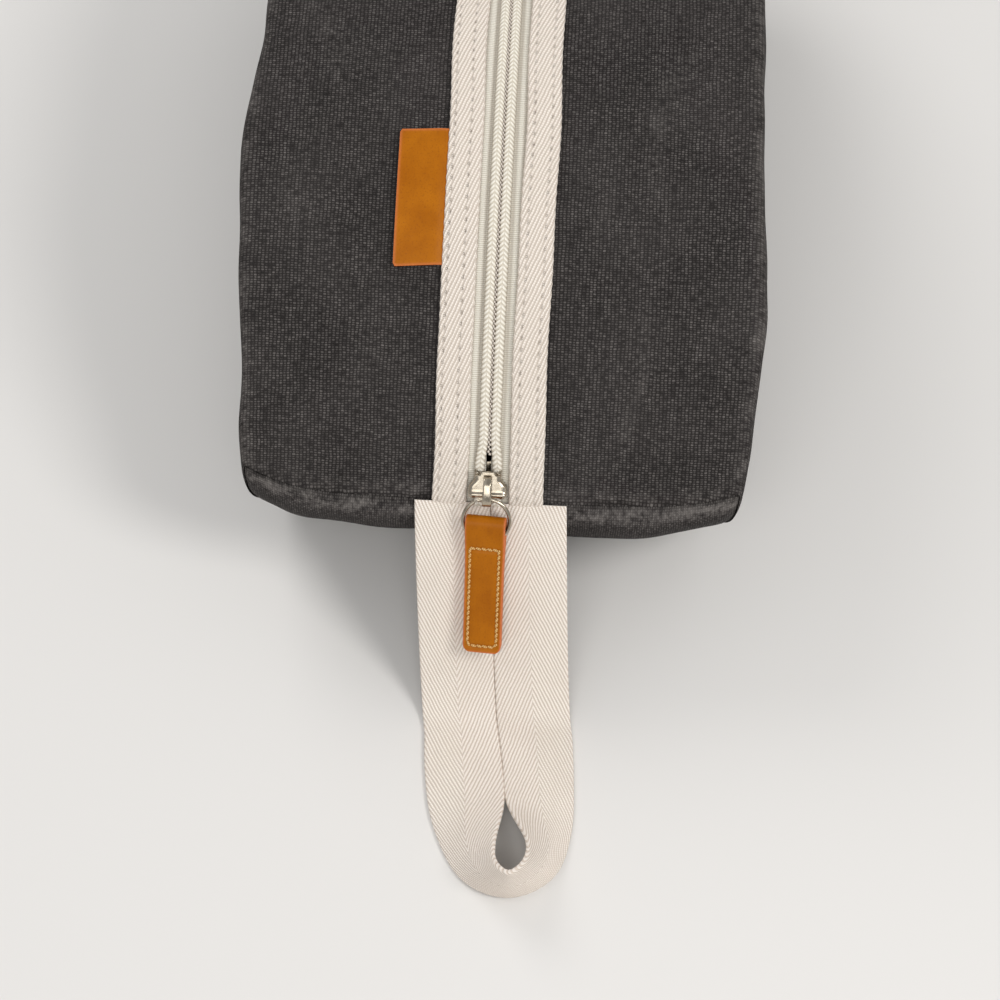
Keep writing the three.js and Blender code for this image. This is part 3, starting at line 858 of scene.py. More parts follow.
def flat_sheet(half_x, half_y, z, corner, columns, rows):
    """A level sheet with rounded corners as a grid, and its distance to the nearest edge."""
    x = np.linspace(-1, 1, columns)[:, None] * np.ones(rows)[None, :]
    y = np.ones(columns)[:, None] * np.linspace(-1, 1, rows)[None, :]
    px, py = x * half_x, y * half_y
    over_x = np.clip((np.abs(px) - (half_x - corner)) / corner, 0, 1)
    over_y = np.clip((np.abs(py) - (half_y - corner)) / corner, 0, 1)
    squeeze = corner * (1 - np.sqrt(np.clip(1 - np.minimum(over_x, over_y) ** 2, 0, 1)))
    px = px - np.sign(px) * squeeze * 0.6
    py = py - np.sign(py) * squeeze * 0.6
    edge = np.minimum(half_x - np.abs(px), half_y - np.abs(py))
    return np.stack([px, py, np.full_like(px, z)], axis=-1), edge


def build_base():
    """The canvas and lining of the base; the canvas rises a little off the table in its middle."""
    grid, edge = flat_sheet(BASE_HALF_WIDTH - 1.6, BASE_HALF_LENGTH - 2.4, TABLE_CLEAR, 5, 60, 84)
    grid[..., 2] += 0.22 * smooth(edge / 9) * np.clip(1 + 0.7 * ripple(grid, 30, 31), 0, 2)
    normals = np.zeros_like(grid)
    normals[..., 2] = -1
    uv = grid[..., :2] + UV_BASE
    wear_and_highlight = 0.6 * np.exp(-edge / 4)
    obj = shell("base_canvas", grid, normals, CANVAS, CANVAS_LOOK, uv, {"wear_and_highlight": wear_and_highlight})
    dress(obj, "bag_body", ["base_panel"])
    grid, edge = flat_sheet(BASE_HALF_WIDTH - 2.6, BASE_HALF_LENGTH - 0.1, 2.4, 3, 40, 56)
    grid[..., 2] += 0.25 * smooth(edge / 8) * ripple(grid, 26, 32)
    uv = grid[..., :2] + UV_BASE_LINING
    obj = shell("base_lining_cloth", grid, -normals[:40, :56], LINING, LINING_LOOK, uv)
    dress(obj, "bag_body", ["base_lining"])


# ---- Strips that follow the arc of the zip ----


def arc_rings(outline, y, sink=None):
    """Rings of a section given as (x, r), placed at each y; sink lowers the whole ring."""
    sink = np.zeros(len(y)) if sink is None else sink
    x = np.broadcast_to(outline[:, 0], (len(y), len(outline)))
    r = outline[None, :, 1] - sink[:, None]
    angle = np.arcsin(y / TOP_R)[:, None]
    return np.stack([x, r * np.sin(angle), ARC_Z + r * np.cos(angle)], axis=-1)


def arc_stations(half, step):
    count = 2 * int(half / step) + 1
    return np.linspace(-half, half, count)


def strip_quarters(kind, side, rings, y, around, look, nodes, values=None):
    """Builds one long strip as a front and a rear piece."""
    normals = grid_normals(rings, closed=True)
    middle = rings.mean(axis=1, keepdims=True)
    if np.einsum("ijk,ijk->", normals, rings - middle) < 0:
        normals = -normals
    run = arc_run(y)
    for end, rows in split_ends(len(y)).items():
        part = {k: v[rows] for k, v in (values or {}).items()}
        name = f"{kind}_{end}_{side}"
        obj = tube(name, rings[rows], look, run[rows], around, normals[rows], part)
        dress(obj, nodes=nodes_of(nodes, side, end))
        bend_with(obj)


TRIM_PAST = 0.8
STITCH_ROWS = {"left": (8.85, 13.1), "right": (7.55, 12.25)}


def trim_outline(side):
    """Section of a folded trim as (x, r): soft crown, dipped where the two stitch rows pull it down."""
    width = TRIM_OUT - TRIM_IN
    low, high = TRIM_R
    across = np.linspace(0, 1, 31)
    top = [(TRIM_IN + a * width, high - 0.28 * abs(2 * a - 1) ** 4) for a in across]
    rounded = 0.175
    top = [(x, r) for x, r in top if TRIM_IN + rounded < x < TRIM_OUT - rounded]
    right = [(TRIM_OUT - 0.05, high - 0.55), (TRIM_OUT + 0.02, low + 0.55), (TRIM_OUT - 0.2, low + 0.1)]
    under = [(x, low) for x in np.linspace(TRIM_OUT - 0.7, TRIM_IN + 0.7, 8)]
    left = [(TRIM_IN + 0.2, low + 0.1), (TRIM_IN - 0.02, low + 0.55), (TRIM_IN + 0.05, high - 0.55)]
    outline = np.array(top + right + under + left)
    dip = np.zeros(len(outline))
    for row in STITCH_ROWS[side]:
        upper = outline[:, 1] > (low + high) / 2
        dip += 0.14 * np.exp(-(((outline[:, 0] - row) / 0.75) ** 2)) * upper
    outline[:, 1] -= dip
    return outline


def build_trims():
    """The two folded trims, pulled down and drawn in a little at every stitch."""
    y = arc_stations(SEAM_Y + TRIM_PAST, 0.5)
    run = arc_run(y)
    sink = 1.3 * seam_drop(SEAM_Y + TRIM_PAST - np.abs(y))
    for side, way in SIDES.items():
        outline = trim_outline(side)
        rings = arc_rings(outline, y, sink)
        beat = np.sin(2 * math.pi * run / STITCH)[:, None]
        far = smooth((outline[:, 0] - (TRIM_OUT - 2.4)) / 2.4)[None, :]
        near = smooth((TRIM_IN + 2.0 - outline[:, 0]) / 2.0)[None, :]
        wander = 0.22 * ripple(run[:, None] * np.ones(3), 70, 41 + way)[:, None]
        rings[..., 0] += 0.07 * beat * far - 0.06 * beat * near + wander
        top = (outline[:, 1] > sum(TRIM_R) / 2)[None, :]
        # Stitch pits: dipped into the trim, with painted shade in them.
        pit_dip_and_shade = np.zeros((len(y), len(outline)))
        for k, row in enumerate(STITCH_ROWS[side]):
            gap = np.abs((run / STITCH + 0.35 * k) % 1.0 - 0.5)[:, None] * STITCH
            beside = outline[None, :, 0] - row
            slant = gap + 0.8 * beside
            pit_dip_and_shade += np.exp(-((slant / 0.45) ** 2) - (beside / 0.26) ** 2) * top
        rings[..., 2] -= 0.12 * pit_dip_and_shade
        bounce = 0.05 * np.cos(2 * math.pi * run / STITCH)[:, None] * top
        rings[..., 2] += bounce
        rings[..., 0] *= way
        around = ring_run(outline) * way
        values = {"pit_shade": np.clip(pit_dip_and_shade, 0, 1)}
        strip_quarters("trim_tape", side, rings, y, around, TRIM_LOOK, ["trim"], values)
        build_trim_stitches(side, way)


def capsule_points(length, radius, around=8, along=7):
    """A little grain of thread along x, as rings."""
    t = np.linspace(0, math.pi, along)
    x = -0.5 * length * np.cos(t)
    r = radius * np.maximum(np.sin(t), 0.12) ** 0.6
    a = np.linspace(0, 2 * math.pi, around, endpoint=False)
    rings = np.stack(
        [np.repeat(x[:, None], around, 1), r[:, None] * np.cos(a), r[:, None] * np.sin(a)], axis=-1
    )
    return rings


def scatter(name, grain, places, look):
    """Many copies of one small closed grain joined in one mesh; places are 3 x 4 matrices."""
    n, m = grain.shape[:2]
    index = np.arange(n * m).reshape(n, m)
    nxt = np.roll(index, -1, axis=1)
    face = np.stack([index[:-1], index[1:], nxt[1:], nxt[:-1]], axis=-1).reshape(-1, 4)
    flat = grain.reshape(-1, 3)
    v = np.tile(np.arange(m) / m, n)[:, None]
    corner = np.concatenate([flat[:, :1], v], axis=1)[face]
    points, faces, uvs, caps = [], [], [], []
    for k, place in enumerate(places):
        points.append(flat @ place[:, :3].T + place[:, 3])
        faces.append(face + k * len(flat))
        uvs.append(corner)
        caps += [index[0] + k * len(flat), index[-1, ::-1] + k * len(flat)]
    return build(name, np.concatenate(points), faces, look, uvs, ngons=caps)


def arc_place(x, y, r, turn=0.0):
    """Matrix that sets a grain on the arc at x, y and radius r, its length along the bag."""
    angle = math.asin(y / TOP_R)
    ahead = np.array([0, math.cos(angle), -math.sin(angle)])
    out = np.array([0, math.sin(angle), math.cos(angle)])
    across = np.cross(ahead, out)
    c, s = math.cos(turn), math.sin(turn)
    along = ahead * c + across * s
    aside = across * c - ahead * s
    at = np.array([x, r * math.sin(angle), ARC_Z + r * math.cos(angle)])
    return np.column_stack([along, aside, out, at])


def build_trim_stitches(side, way):
    grain = capsule_points(1.9, 0.19)
    for end, sign in ENDS.items():
        places = []
        for k, row in enumerate(STITCH_ROWS[side]):
            steps = np.arange(0.35, 44.5)
            for step in steps:
                run = sign * (step * STITCH + STITCH * (0.15 - 0.35 * k * sign))
                y = TOP_R * math.sin(run / TOP_R)
                if abs(y) > SEAM_Y - 2.5:
                    continue
                places.append(arc_place(way * row, y, TRIM_R[1] - 0.27, 0.12))
        obj = scatter(f"trim_stitches_{end}_{side}", grain, places, TRIM_THREAD_LOOK)
        dress(obj)
        bend_with(obj)


def build_tapes():
    """The two zip tapes, each with a ridge beside its trim and a shaded groove beside its coil."""
    y = arc_stations(SEAM_Y + TRIM_PAST, 1.2)
    sink = seam_drop(SEAM_Y + TRIM_PAST - np.abs(y))
    low, high = TAPE_R
    for side, way in SIDES.items():
        across = np.linspace(0.6, 8.4, 14)
        top = [(x, high + 0.35 * math.exp(-((x - 5.0) ** 2))) for x in across]
        under = [(x, low) for x in across[::-2]]
        outline = np.array(top + under)
        rings = arc_rings(outline, y, sink)
        rings[..., 0] *= way
        around = ring_run(outline)
        # Painted shade in the groove beside the coil, and a painted shadow beside the trim, darker on
        # the right-hand tape.
        groove = np.exp(-(((outline[:, 0] - 3.35) / 0.35) ** 2))
        painted_trim_shadow = smooth((outline[:, 0] - 4.6) / 0.9) * (0.55 if way > 0 else 0.25)
        shade = np.broadcast_to(np.clip(groove + painted_trim_shadow, 0, 1), (len(y), len(outline)))
        values = {"shade": shade}
        strip_quarters("tape", side, rings, y, around, TAPE_LOOK, ["zip_tape"], values)


COIL_IN = 0.14
COIL_OUT = 2.9
COIL_PART = 0.75
KNIT = 1.25


def build_cords():
    """The zip's two coils, each under a knitted cord, with the coil heads between them.

    They part a little just behind the slider.
    """
    y = arc_stations(SEAM_Y + 0.4, 0.26)
    run = arc_run(y)
    low, high = COIL_R
    middle = (COIL_IN + COIL_OUT) / 2
    half = (COIL_OUT - COIL_IN) / 2
    angles = np.radians(np.linspace(-80, 80, 15))
    top = [(middle + half * math.sin(a), low + (high - low) * math.cos(a) ** 0.7) for a in angles]
    under = [(x, low - 0.1) for x in np.linspace(COIL_OUT - 0.15, COIL_IN + 0.15, 4)]
    outline = np.array(top + under)
    on_top = (outline[:, 1] > low + 0.1)[None, :]
    for side, way in SIDES.items():
        rings = arc_rings(outline, y)
        slant = np.abs(outline[:, 0] - middle)[None, :]
        phase = run[:, None] / KNIT + slant * 0.62
        knit = (0.5 + 0.5 * np.sin(2 * math.pi * phase)) * smooth(slant / 0.25)
        outward = outline - np.array([middle, low])
        outward = outward / np.linalg.norm(outward, axis=1, keepdims=True)
        lift = 0.12 * (knit - 0.6) * on_top
        angle = np.arcsin(y / TOP_R)[:, None]
        rings[..., 0] += lift * outward[None, :, 0]
        rings[..., 0] += COIL_PART * smooth((-y - 107) / 6)[:, None]
        rings[..., 1] += lift * outward[None, :, 1] * np.sin(angle)
        rings[..., 2] += lift * outward[None, :, 1] * np.cos(angle)
        rings[..., 0] *= way
        around = np.append(outline[:, 0] - middle, outline[0, 0] - middle)
        # Painted shade along both edges of each cord, where it meets the tape.
        edge = np.exp(-((np.abs(outline[:, 0] - middle) - half) ** 2) / 0.06) * 0.8
        values = {"shade": np.broadcast_to(np.clip(edge, 0, 1), (len(y), len(outline)))}
        strip_quarters("coil", side, rings, y, around, CORD_LOOK, ["zip_coil"], values)
        build_heads(side, way)


def build_heads(side, way):
    """The ends of the coil's turns, alternating from side to side along the middle of the zip."""
    grain = capsule_points(0.7, 0.36)
    offset = 0.0 if way < 0 else 0.5
    for end, sign in ENDS.items():
        places = []
        for step in range(0, 110):
            run = sign * (step + offset) * KNIT
            if step + offset == 0 and sign > 0:
                continue
            y = TOP_R * math.sin(run / TOP_R)
            if y < -SEAM_Y + 9 or y > SEAM_Y - 3:
                continue
            places.append(arc_place(way * 0.2, y, COIL_R[1] - 0.75, math.pi / 2))
        obj = scatter(f"coil_heads_{end}_{side}", grain, places, TRIM_THREAD_LOOK)
        dress(obj)
        bend_with(obj)


# ---- Side label ----

LABEL = {"inner": 14.2, "outer": 27.0, "front": -70.8, "rear": -36.4, "thickness": 1.15}


def build_label():
    """A leather tab sewn in under the left trim, its free edge a little proud of the canvas."""
    columns, rows = 18, 46
    a = np.linspace(0, 1, columns)
    b = np.linspace(0, 1, rows)
    run = lerp(arc_run(LABEL["front"]), arc_run(LABEL["rear"]), b)
    corner = 0.5
    grid = np.zeros((rows, columns, 3))
    for k in range(rows):
        edge = min(b[k], 1 - b[k]) * abs(run[-1] - run[0])
        cut = corner - math.sqrt(max(corner**2 - max(corner - edge, 0) ** 2, 0))
        x = lerp(LABEL["inner"] - 0.9, LABEL["outer"] - cut, a)
        lift = -0.35 + 0.6 * smooth(a / 0.25) + 0.45 * a**2 + 0.25 * np.sin(math.pi * b[k]) * a
        r = TOP_R + LABEL["thickness"] + lift
        skew = -1.1 * a
        angle = (run[k] + skew) / TOP_R
        grid[k] = np.stack([-x, r * np.sin(angle), ARC_Z + r * np.cos(angle)], axis=1)
    normals = facing(grid_normals(grid), rows // 2, columns // 2, 2, 1)
    uv = np.stack([np.repeat(run[:, None], columns, 1), np.repeat(a[None] * 12.8, rows, 0)], axis=-1)
    outer_edge = np.exp(-((1 - a[None]) * 12.8) / 0.25)
    end_edges = np.exp(-(np.minimum(b, 1 - b)[:, None] * 34) / 0.2)
    values = {"edge": np.maximum(outer_edge, end_edges) * 0.8}
    obj = shell("label", grid, normals, LABEL["thickness"], LEATHER_LOOK, uv, values)
    dress(obj, nodes=["side_label"])
    bend_with(obj)


# ---- Slider, bridge, ring and leather tab ----


def turned(points, angle, y0, z0):
    """Points turned about X by angle, then moved by y0 and z0."""
    c, s = math.cos(angle), math.sin(angle)
    out = np.array(points, float)
    y = out[..., 1] * c - out[..., 2] * s
    z = out[..., 1] * s + out[..., 2] * c
    out[..., 1] = y + y0
    out[..., 2] = z + z0
    return out


def on_slider(points):
    """From the slider's own frame, z away from the centre of the arc, to the row frame."""
    return turned(points, SLIDER_TURN, 0, ARC_Z)


def on_pull(points):
    """From the pull's frame, its y rearwards up the slope from the ring's pivot, to the row frame."""
    pivot = on_slider(np.array([[0, -PIVOT_FORWARD, PIVOT_R]]))[0]
    return turned(points, PULL_SLOPE, pivot[1], pivot[2])


PLATE_TOP = 163.5
PLATE_THICK = 1.15
FLANGE_R = 160.0
LOWER_PLATE_R = 157.85


def slider_half_width(y):
    """Half the slider's width: shoulders in front, a narrow tail behind, rounded front corners."""
    wide = 4.95 - 0.9 * np.clip((-3.6 - y) / 1.0, 0, 1) ** 2
    tail = 3.5
    return lerp(wide, tail, smooth((y + 1.7) / 2.4))


def slider_section(w):
    """Section of the upper plate as (x, r), w wide from its middle: flat top and hanging flanges."""
    under, wall = PLATE_TOP - PLATE_THICK, 0.85
    bend = 0.8
    a = np.radians(np.linspace(90, 0, 6))
    arc = [(w - bend + bend * math.cos(k), PLATE_TOP - bend + bend * math.sin(k)) for k in a]
    flat = [(x, PLATE_TOP + 0.12) for x in np.linspace(0, w - 0.9, 7)]
    outer = flat + arc + [(w, under - 0.95), (w, FLANGE_R + 0.2), (w - 0.2, FLANGE_R)]
    inner = [(w - wall + 0.15, FLANGE_R), (w - wall, FLANGE_R + 0.3)]
    inner += [(w - wall, under - 0.25), (w - wall - 0.3, under - 0.05)]
    inner += [(x, under) for x in np.linspace(w - wall - 0.8, 0, 4)]
    right = outer + inner
    left = [(-x, z) for x, z in reversed(right)][1:-1]
    return np.array(right + left)


def build_slider_shell():
    """The slider's upper plate with its two turned-down flanges, as one bent sheet of metal."""
    y = np.linspace(2.7, -4.3, 44)
    rings = []
    for yy in y:
        w = float(slider_half_width(yy))
        lip = 0.45 * math.exp(-(((yy + 3.4) / 0.6) ** 2))
        rear = 0.9 * smooth((yy - 1.7) / 0.9)
        ring = slider_section(w)
        prong = rear * smooth((np.abs(ring[:, 0]) - (w - 1.5)) / 0.5)
        high = smooth((ring[:, 1] - 162.2) / 1.2)
        z = ring[:, 1] + (lip + prong) * high
        rings.append(np.stack([ring[:, 0], np.full(len(ring), yy), z], axis=1))
    rings = np.array(rings)
    around = np.append(lengths(rings[20]), 0)
    run = y[0] - y
    obj = tube("slider_shell", on_slider(rings), NICKEL_LOOK, run, around)
    return dress(obj, "slider", ["slider_body"])


def build_slider_inside():
    """The slider's lower plate, inside the bag, and the wedge that joins it to the upper one."""
    y = np.linspace(4.2, -4.2, 22)
    rings = []
    for yy in y:
        w = float(slider_half_width(yy)) - 0.35
        outline = rounded_bar(2 * w, 1.2, 0.4)
        level = outline[:, 1] + LOWER_PLATE_R
        rings.append(np.stack([outline[:, 0], np.full(len(outline), yy), level], axis=1))
    rings = np.array(rings)
    around = ring_run(rings[11][:, [0, 2]])
    plate = tube("slider_lower_plate", on_slider(rings), NICKEL_LOOK, np.linspace(0, 8.4, 22), around)
    dress(plate, "slider")
    levels = np.linspace(158.2, 162.6, 12)
    a = np.linspace(0, 2 * math.pi, 20, endpoint=False)
    x, y = 0.5 * np.cos(a), -2.6 + 1.2 * np.sin(a)
    rings = [np.stack([x, y, np.full(20, z)], axis=1) for z in levels]
    post = tube("slider_wedge", on_slider(np.array(rings)), NICKEL_LOOK, levels, np.linspace(0, 5, 21))
    dress(post, "slider")


BRIDGE_PATH = (
    (1.6, 163.3),
    (1.5, 164.5),
    (0.9, 165.6),
    (-0.3, 166.2),
    (-1.8, 166.4),
    (-3.6, 166.35),
    (-5.1, 165.95),
    (-5.85, 165.1),
    (-5.75, 164.2),
)


def bar_along(path, width, height, radius, steps, faces=0):
    """Rings of a flat bar bent along a (y, z) path in the middle plane, and their distances.

    width gives the bar's width at a distance along it. faces is how many points each flat face
    gets across it, beyond its rounded corners.
    """
    line = np.array([(0, y, z) for y, z in path], float)
    line = soften(line, 0.45, 0.05)
    run = np.linspace(0, lengths(line)[-1], steps)
    line = resample(line, run)
    ahead = unit(np.gradient(line, axis=0))
    up = np.cross(np.array([1.0, 0, 0]), ahead)
    rings = []
    for k in range(steps):
        w = width(run[k])
        full = rounded_bar(w, height, radius)
        if faces:
            full = face_points(full, w, faces)
        rings.append(line[k] + full[:, :1] * np.array([1.0, 0, 0]) + full[:, 1:] * up[k])
    return np.array(rings), run


def bridge_width(s):
    return 2.3 - 0.25 * math.sin(s * 0.5)


def build_bridge():
    thick, corner = 0.85, 0.36
    rings, run = bar_along(BRIDGE_PATH, bridge_width, thick, corner, 60)
    around = ring_run(rounded_bar(4, thick, corner))
    obj = tube("bridge", on_slider(rings), NICKEL_LOOK, run, around)
    dress(obj, "slider", ["slider_bridge"])


def build_ring():
    """A ring of round wire, its butted ends at the back of the bridge."""
    a = np.linspace(0.09, 2 * math.pi - 0.09, 90) + math.pi / 2 + 0.5
    b = np.linspace(0, 2 * math.pi, 14, endpoint=False)
    centre = np.stack([RING_R * np.cos(a), RING_R * np.sin(a) - RING_R, 0 * a], axis=1)
    out = np.stack([np.cos(a), np.sin(a), 0 * a], axis=1)
    up = np.array([0, 0, 1.0])
    wire = WIRE_R * 1.02
    spoke = np.cos(b)[None, :, None] * out[:, None] + np.sin(b)[None, :, None] * up
    rings = centre[:, None] + wire * spoke
    obj = tube("ring", on_pull(rings), NICKEL_LOOK, a * RING_R, np.linspace(0, 2 * math.pi * wire, 15))
    dress(obj, "zip_pull", ["pull_ring"])


TAB_TOP = RING_R - 0.75
TAB_LENGTH = 38.6
TAB_HALF = 5.35
TAB_LEAF = 1.25
TAB_ROLL = math.radians(7.0)


def tab_level(down):
    """Distance of a leaf's middle from the tab's middle plane, by distance down from the fold."""
    return lerp(1.42, 0.64, smooth((down - 3.0) / 7.5))


def rolled(points):
    """The tab turned a little about its own length, so that it rests on one edge."""
    c, s = math.cos(TAB_ROLL), math.sin(TAB_ROLL)
    out = np.array(points, float)
    x = out[..., 0] * c - out[..., 2] * s
    z = out[..., 0] * s + out[..., 2] * c
    out[..., 0] = x
    out[..., 2] = z
    return out


def face_points(outline, width, count):
    """A bar's outline with extra points across its two flat faces, in order round the bar."""
    half = width / 2 - 0.75
    across = np.linspace(-half, half, count)
    level = outline[:, 1].max()
    right = outline[outline[:, 0] > half * 0.98]
    left = outline[outline[:, 0] < -half * 0.98]
    top = np.stack([across, np.full(count, level)], axis=1)
    return np.concatenate([top, right, top[::-1] * (1, -1), left])


def tab_relief(x, down):
    """Height of the tab's face: drawn in along the stitching and full inside it."""
    line = tab_stitch_line()
    d, _ = line_distance(x, down, [tuple(p) for p in line])
    top, bottom, half = line[0, 1], line[:, 1].max(), line[:, 0].max()
    inside = np.clip(np.minimum(np.minimum(down - top, bottom - down), half - np.abs(x)) / 1.2, 0, 1)
    return 0.3 * smooth(inside) - 0.26 * np.exp(-((d / 0.55) ** 2))


def build_tab():
    """One leather strap folded over the ring: back leaf up, round the fold, front leaf down."""
    down = np.linspace(TAB_LENGTH, 1.5, 40)
    back = [(-TAB_TOP - d, -float(tab_level(d))) for d in down]
    turn = np.radians(np.linspace(-80, 80, 13))
    fold = [(-TAB_TOP - 1.5 + 1.45 * math.cos(a), 1.42 * math.sin(a)) for a in turn]
    front = [(y, -z) for y, z in reversed(back)]
    path = back + fold + front
    total = lengths(np.array(path))[-1]
    round_off = 2.2

    def width(s):
        d = min(s, total - s)
        cut = round_off - math.sqrt(max(round_off**2 - max(round_off - d, 0) ** 2, 0))
        waist = 0.22 * smooth((d - 20) / 18)
        return 2 * (TAB_HALF - 0.22 + waist - cut)

    rings, run = bar_along(path, width, TAB_LEAF, 0.42, 220, 15)
    across = np.abs(rings[..., 0])
    widest = across.max(axis=1, keepdims=True)
    edge = np.clip(smooth((across - (widest - 0.55)) / 0.4), 0, 1)
    ends = np.exp(-(np.minimum(run, run[-1] - run) / 0.35))[:, None]
    edge = np.maximum(edge, ends)
    down = -TAB_TOP - rings[..., 1].mean(axis=1, keepdims=True) + 0 * rings[..., 0]
    middle = rings[..., 2].mean(axis=1, keepdims=True)
    face = np.sign(middle)
    outer = face * rings[..., 2] > np.abs(middle) + 0.3 * TAB_LEAF
    rings[..., 2] += face * tab_relief(rings[..., 0], down) * outer
    around = np.append(lengths(rings[len(rings) // 4][:, [0, 2]]), 0)
    obj = tube("tab", on_pull(rolled(rings)), LEATHER_LOOK, run, around, values={"edge": edge})
    dress(obj, "zip_pull", ["pull_tab"])


def tab_stitch_line():
    """Where the box stitch runs on the face of the tab, as (x, distance down from the fold)."""
    top, bottom, half = 8.4, TAB_LENGTH - 1.9, TAB_HALF - 1.5
    corner = 1.3
    points = [(-half, top), (half, top), (half, bottom - corner)]
    for a in np.radians(np.linspace(0, 90, 7)):
        points.append((half - corner + corner * math.cos(a), bottom - corner + corner * math.sin(a)))
    for a in np.radians(np.linspace(90, 180, 7)):
        points.append((-half + corner + corner * math.cos(a), bottom - corner + corner * math.sin(a)))
    points += [(-half, bottom - corner), (-half, top)]
    return np.array(points)


def build_tab_stitches():
    line = tab_stitch_line()
    total = lengths(line)[-1]
    count = int(total / 1.5)
    grain = capsule_points(1.34, 0.36, 10, 9)
    places = []
    for face in (1, -1):
        for k in range(count):
            at = (k + 0.5) * total / count
            here, nearby = resample(line, np.array([at, min(at + 0.2, total)]))
            way = unit(nearby - here)
            slant = math.radians(14)
            c, s = math.cos(slant), math.sin(slant)
            along = np.array([way[0] * c - way[1] * s, -(way[1] * c + way[0] * s), 0])
            out = np.array([0, 0, float(face)])
            level = float(tab_level(here[1])) + TAB_LEAF / 2 - 0.1
            at3 = np.array([here[0], -TAB_TOP - here[1], face * level])
            matrix = np.column_stack([along, np.cross(out, along), out, at3])
            tips = [at3 + matrix[:, j] for j in range(3)]
            start, *ends = on_pull(rolled(np.stack([at3, *tips])))
            places.append(np.column_stack([*(tip - start for tip in ends), start]))
    obj = scatter("tab_stitches", grain, places, TAB_THREAD_LOOK)
    dress(obj, "zip_pull")


# ---- Webbing carry loop ----

WEBBING = 1.4
HANG = ((-119.8, 49.7), (-136.9, 37.2), (-149.0, 0.9), (-162.0, 0.9))
TURN_OUTER = (
    (-14.9, -162.3, 0.9),
    (-13.9, -176, 0.9),
    (-10.8, -191, 0.9),
    (-2.5, -205.5, 0.9),
    (10.3, -210, 0.9),
    (21.7, -204, 0.9),
    (26, -191, 0.9),
    (26, -176, 0.9),
    (25.1, -162.3, 0.9),
)
TURN_INNER = (
    (5.03, -162.3, 0.9),
    (6.72, -173, 1.6),
    (7.9, -185.5, 5.5),
    (6.1, -198.5, 12.0),
    (6.5, -206.0, 15.4),
    (10.3, -210.0, 17.6),
    (14.2, -205.5, 15.6),
    (14.3, -198.0, 12.4),
    (8.5, -185.5, 5.5),
    (6.78, -173, 1.6),
    (5.07, -162.3, 0.9),
)


def loop_shift(y):
    away = -SEAM_Y - y
    return 0.8 + 0.06 * away + 0.0008 * away * away


def through(points, count):
    """A smooth curve through the points, its samples spread evenly over their numbers."""
    p = np.array(points, float)
    p = np.concatenate([2 * p[:1] - p[1:2], p, 2 * p[-1:] - p[-2:-1]])
    out = []
    for t in np.linspace(0, len(points) - 1, count):
        k = min(int(t), len(points) - 2)
        f = t - k
        a, b, c, d = p[k : k + 4]
        square = (2 * a - 5 * b + 4 * c - d) * f**2
        cube = (3 * b - a - 3 * c + d) * f**3
        out.append(0.5 * (2 * b + (c - a) * f + square + cube))
    return np.array(out)


def hang_edge(offset, count):
    yz = bezier(*HANG, np.linspace(0, 1, count))
    return np.stack([offset + loop_shift(yz[:, 0]), yz[:, 0], yz[:, 1]], axis=1)


def loop_edges():
    """Outer and inner edges of the webbing, numbered alike from its left end to its right end."""
    n, turn = 90, 260
    outer = [hang_edge(-STRAND, n)[:-1], through(TURN_OUTER, turn), hang_edge(STRAND, n)[::-1][1:]]
    inner = [hang_edge(-0.03, n)[:-1], through(TURN_INNER, turn), hang_edge(0.03, n)[::-1][1:]]
    outer, inner = np.concatenate(outer), np.concatenate(inner)
    reach = 9
    bell = np.exp(-0.5 * (np.arange(-reach, reach + 1) / 4.0) ** 2)
    bell /= bell.sum()
    for line in (outer, inner):
        middle = np.stack([np.convolve(line[:, k], bell, "valid") for k in range(3)], axis=1)
        line[reach:-reach] = middle
    return outer, inner


def build_loop():
    """One strip of webbing from the seam, down to the table, round its eye and back to the seam."""
    outer, inner = loop_edges()
    spine = (outer + inner) / 2
    run = lengths(spine)
    outline = rounded_bar(STRAND, WEBBING, 0.55, 4)
    flat = np.linspace(-STRAND / 2 + 1.2, STRAND / 2 - 1.2, 15)
    right = outline[(outline[:, 0] > 1)]
    left = outline[(outline[:, 0] < -1)]
    upper = [(x, WEBBING / 2) for x in flat]
    lower = [(x, -WEBBING / 2) for x in flat[::-1]]
    outline = np.concatenate([upper, right, lower, left])
    across = unit(inner - outer)
    ahead = unit(np.gradient(spine, axis=0))
    up = unit(np.cross(ahead, across))
    up = np.where(up[len(up) // 8, 2] < 0, -up, up)
    share = outline[:, 0] / STRAND + 0.5
    base = outer[:, None] + (inner - outer)[:, None] * share[None, :, None]
    edge_curl = 0.35 * (np.abs(2 * share - 1) ** 5)
    lift = outline[:, 1] - edge_curl * 0.5
    rings = base + up[:, None] * lift[None, :, None]
    wave = 0.25 * ripple(spine, 34, 51) * smooth((run - 12) / 20) * smooth((run[-1] - run - 12) / 20)
    rings[..., 2] += (wave * smooth((spine[:, 2] - 1.5) / 6))[:, None]
    lowest = np.minimum(rings[..., 2].min(axis=1), TABLE_CLEAR)
    rings[..., 2] -= (lowest - TABLE_CLEAR)[:, None]
    around = np.append(outline[:, 0] + STRAND / 2, outline[0, 0] + STRAND / 2)
    obj = tube("webbing_loop", rings, WEBBING_LOOK, run, around)
    dress(obj, nodes=["loop_hanging_run_left", "loop_hanging_run_right", "loop_turn"])
    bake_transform(obj)


# ---- Stage ----


def build_floor():
    mesh = bpy.data.meshes.new("floor")
    size = 4.0
    corners = [(-size, -size, 0), (size, -size, 0), (size, size, 0), (-size, size, 0)]
    mesh.from_pydata(corners, [], [(0, 1, 2, 3)])
    mesh.materials.append(floor_finish())
    floor = bpy.data.objects.new("floor", mesh)
    bpy.context.scene.collection.objects.link(floor)


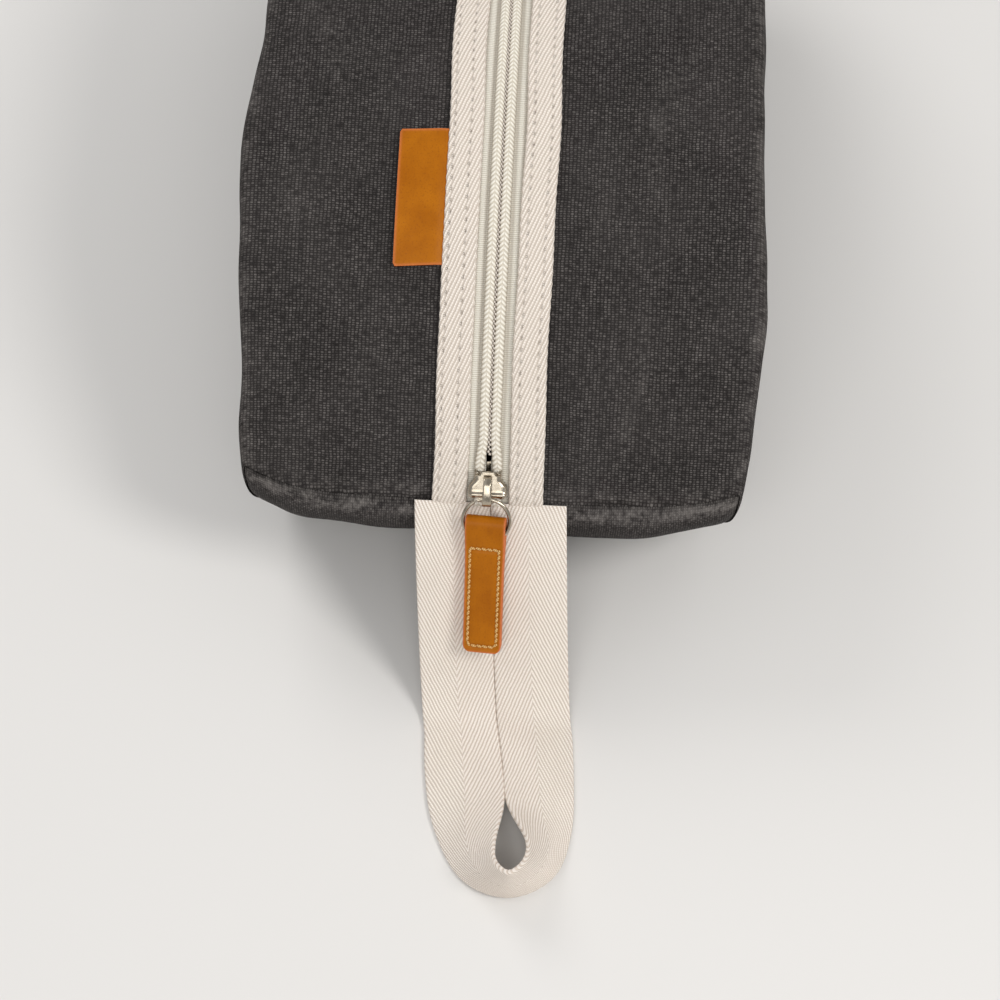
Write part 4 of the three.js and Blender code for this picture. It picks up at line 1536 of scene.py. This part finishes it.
def soft_light(name, place, size, power, colour=(1, 1, 1)):
    light = bpy.data.lights.new(name, "AREA")
    light.shape = "DISK"
    light.size = size
    light.energy = power
    light.color = colour
    obj = bpy.data.objects.new(name, light)
    obj.location = place
    aim = Vector((0, -0.1, 0.04)) - Vector(place)
    obj.rotation_euler = aim.to_track_quat("-Z", "Y").to_euler()
    bpy.context.scene.collection.objects.link(obj)


def build_lights():
    soft_light("key", (0.9, -0.5, 1.2), 0.5, 9.0, (1.0, 0.985, 0.965))
    soft_light("back_left", (-0.6, 0.7, 0.9), 0.7, 4.2, (1.0, 0.995, 0.99))
    soft_light("front", (-0.1, -1.15, 1.15), 1.1, 7.4, (1.0, 0.99, 0.975))
    world = bpy.data.worlds.new("soft_room")
    world.use_nodes = True
    back = world.node_tree.nodes["Background"]
    back.inputs["Color"].default_value = (0.98, 0.985, 1.0, 1.0)
    back.inputs["Strength"].default_value = 0.54
    bpy.context.scene.world = world


AZIMUTH = math.radians(3.0)
ELEVATION = math.radians(60.0)
CAMERA_DISTANCE = 700.0
AIM = (3.3, 0.8)


def build_view():
    """Plain colour: no film curve, so that cloth and floor keep the tones they are given."""
    bpy.context.scene.view_settings.view_transform = "Standard"


def build_camera():
    forward = Vector(
        (
            -math.sin(AZIMUTH) * math.cos(ELEVATION),
            math.cos(AZIMUTH) * math.cos(ELEVATION),
            -math.sin(ELEVATION),
        )
    )
    right = forward.cross(Vector((0, 0, 1))).normalized()
    up = right.cross(forward)
    seam = Vector((0, -SEAM_Y, SEAM_Z))
    aim = seam + right * AIM[0] + up * AIM[1]
    data = bpy.data.cameras.new("camera")
    data.lens = 96
    data.clip_start = 0.01
    camera = bpy.data.objects.new("camera", data)
    camera.location = (aim - forward * CAMERA_DISTANCE) * MM
    camera.rotation_euler = forward.to_track_quat("-Z", "Y").to_euler()
    bpy.context.scene.collection.objects.link(camera)
    bpy.context.scene.camera = camera


build_canvas()
build_ends()
build_base()
build_trims()
build_tapes()
build_cords()
build_label()
build_slider_shell()
build_slider_inside()
build_bridge()
build_ring()
build_tab()
build_tab_stitches()
build_loop()
build_floor()
build_lights()
build_view()
build_camera()
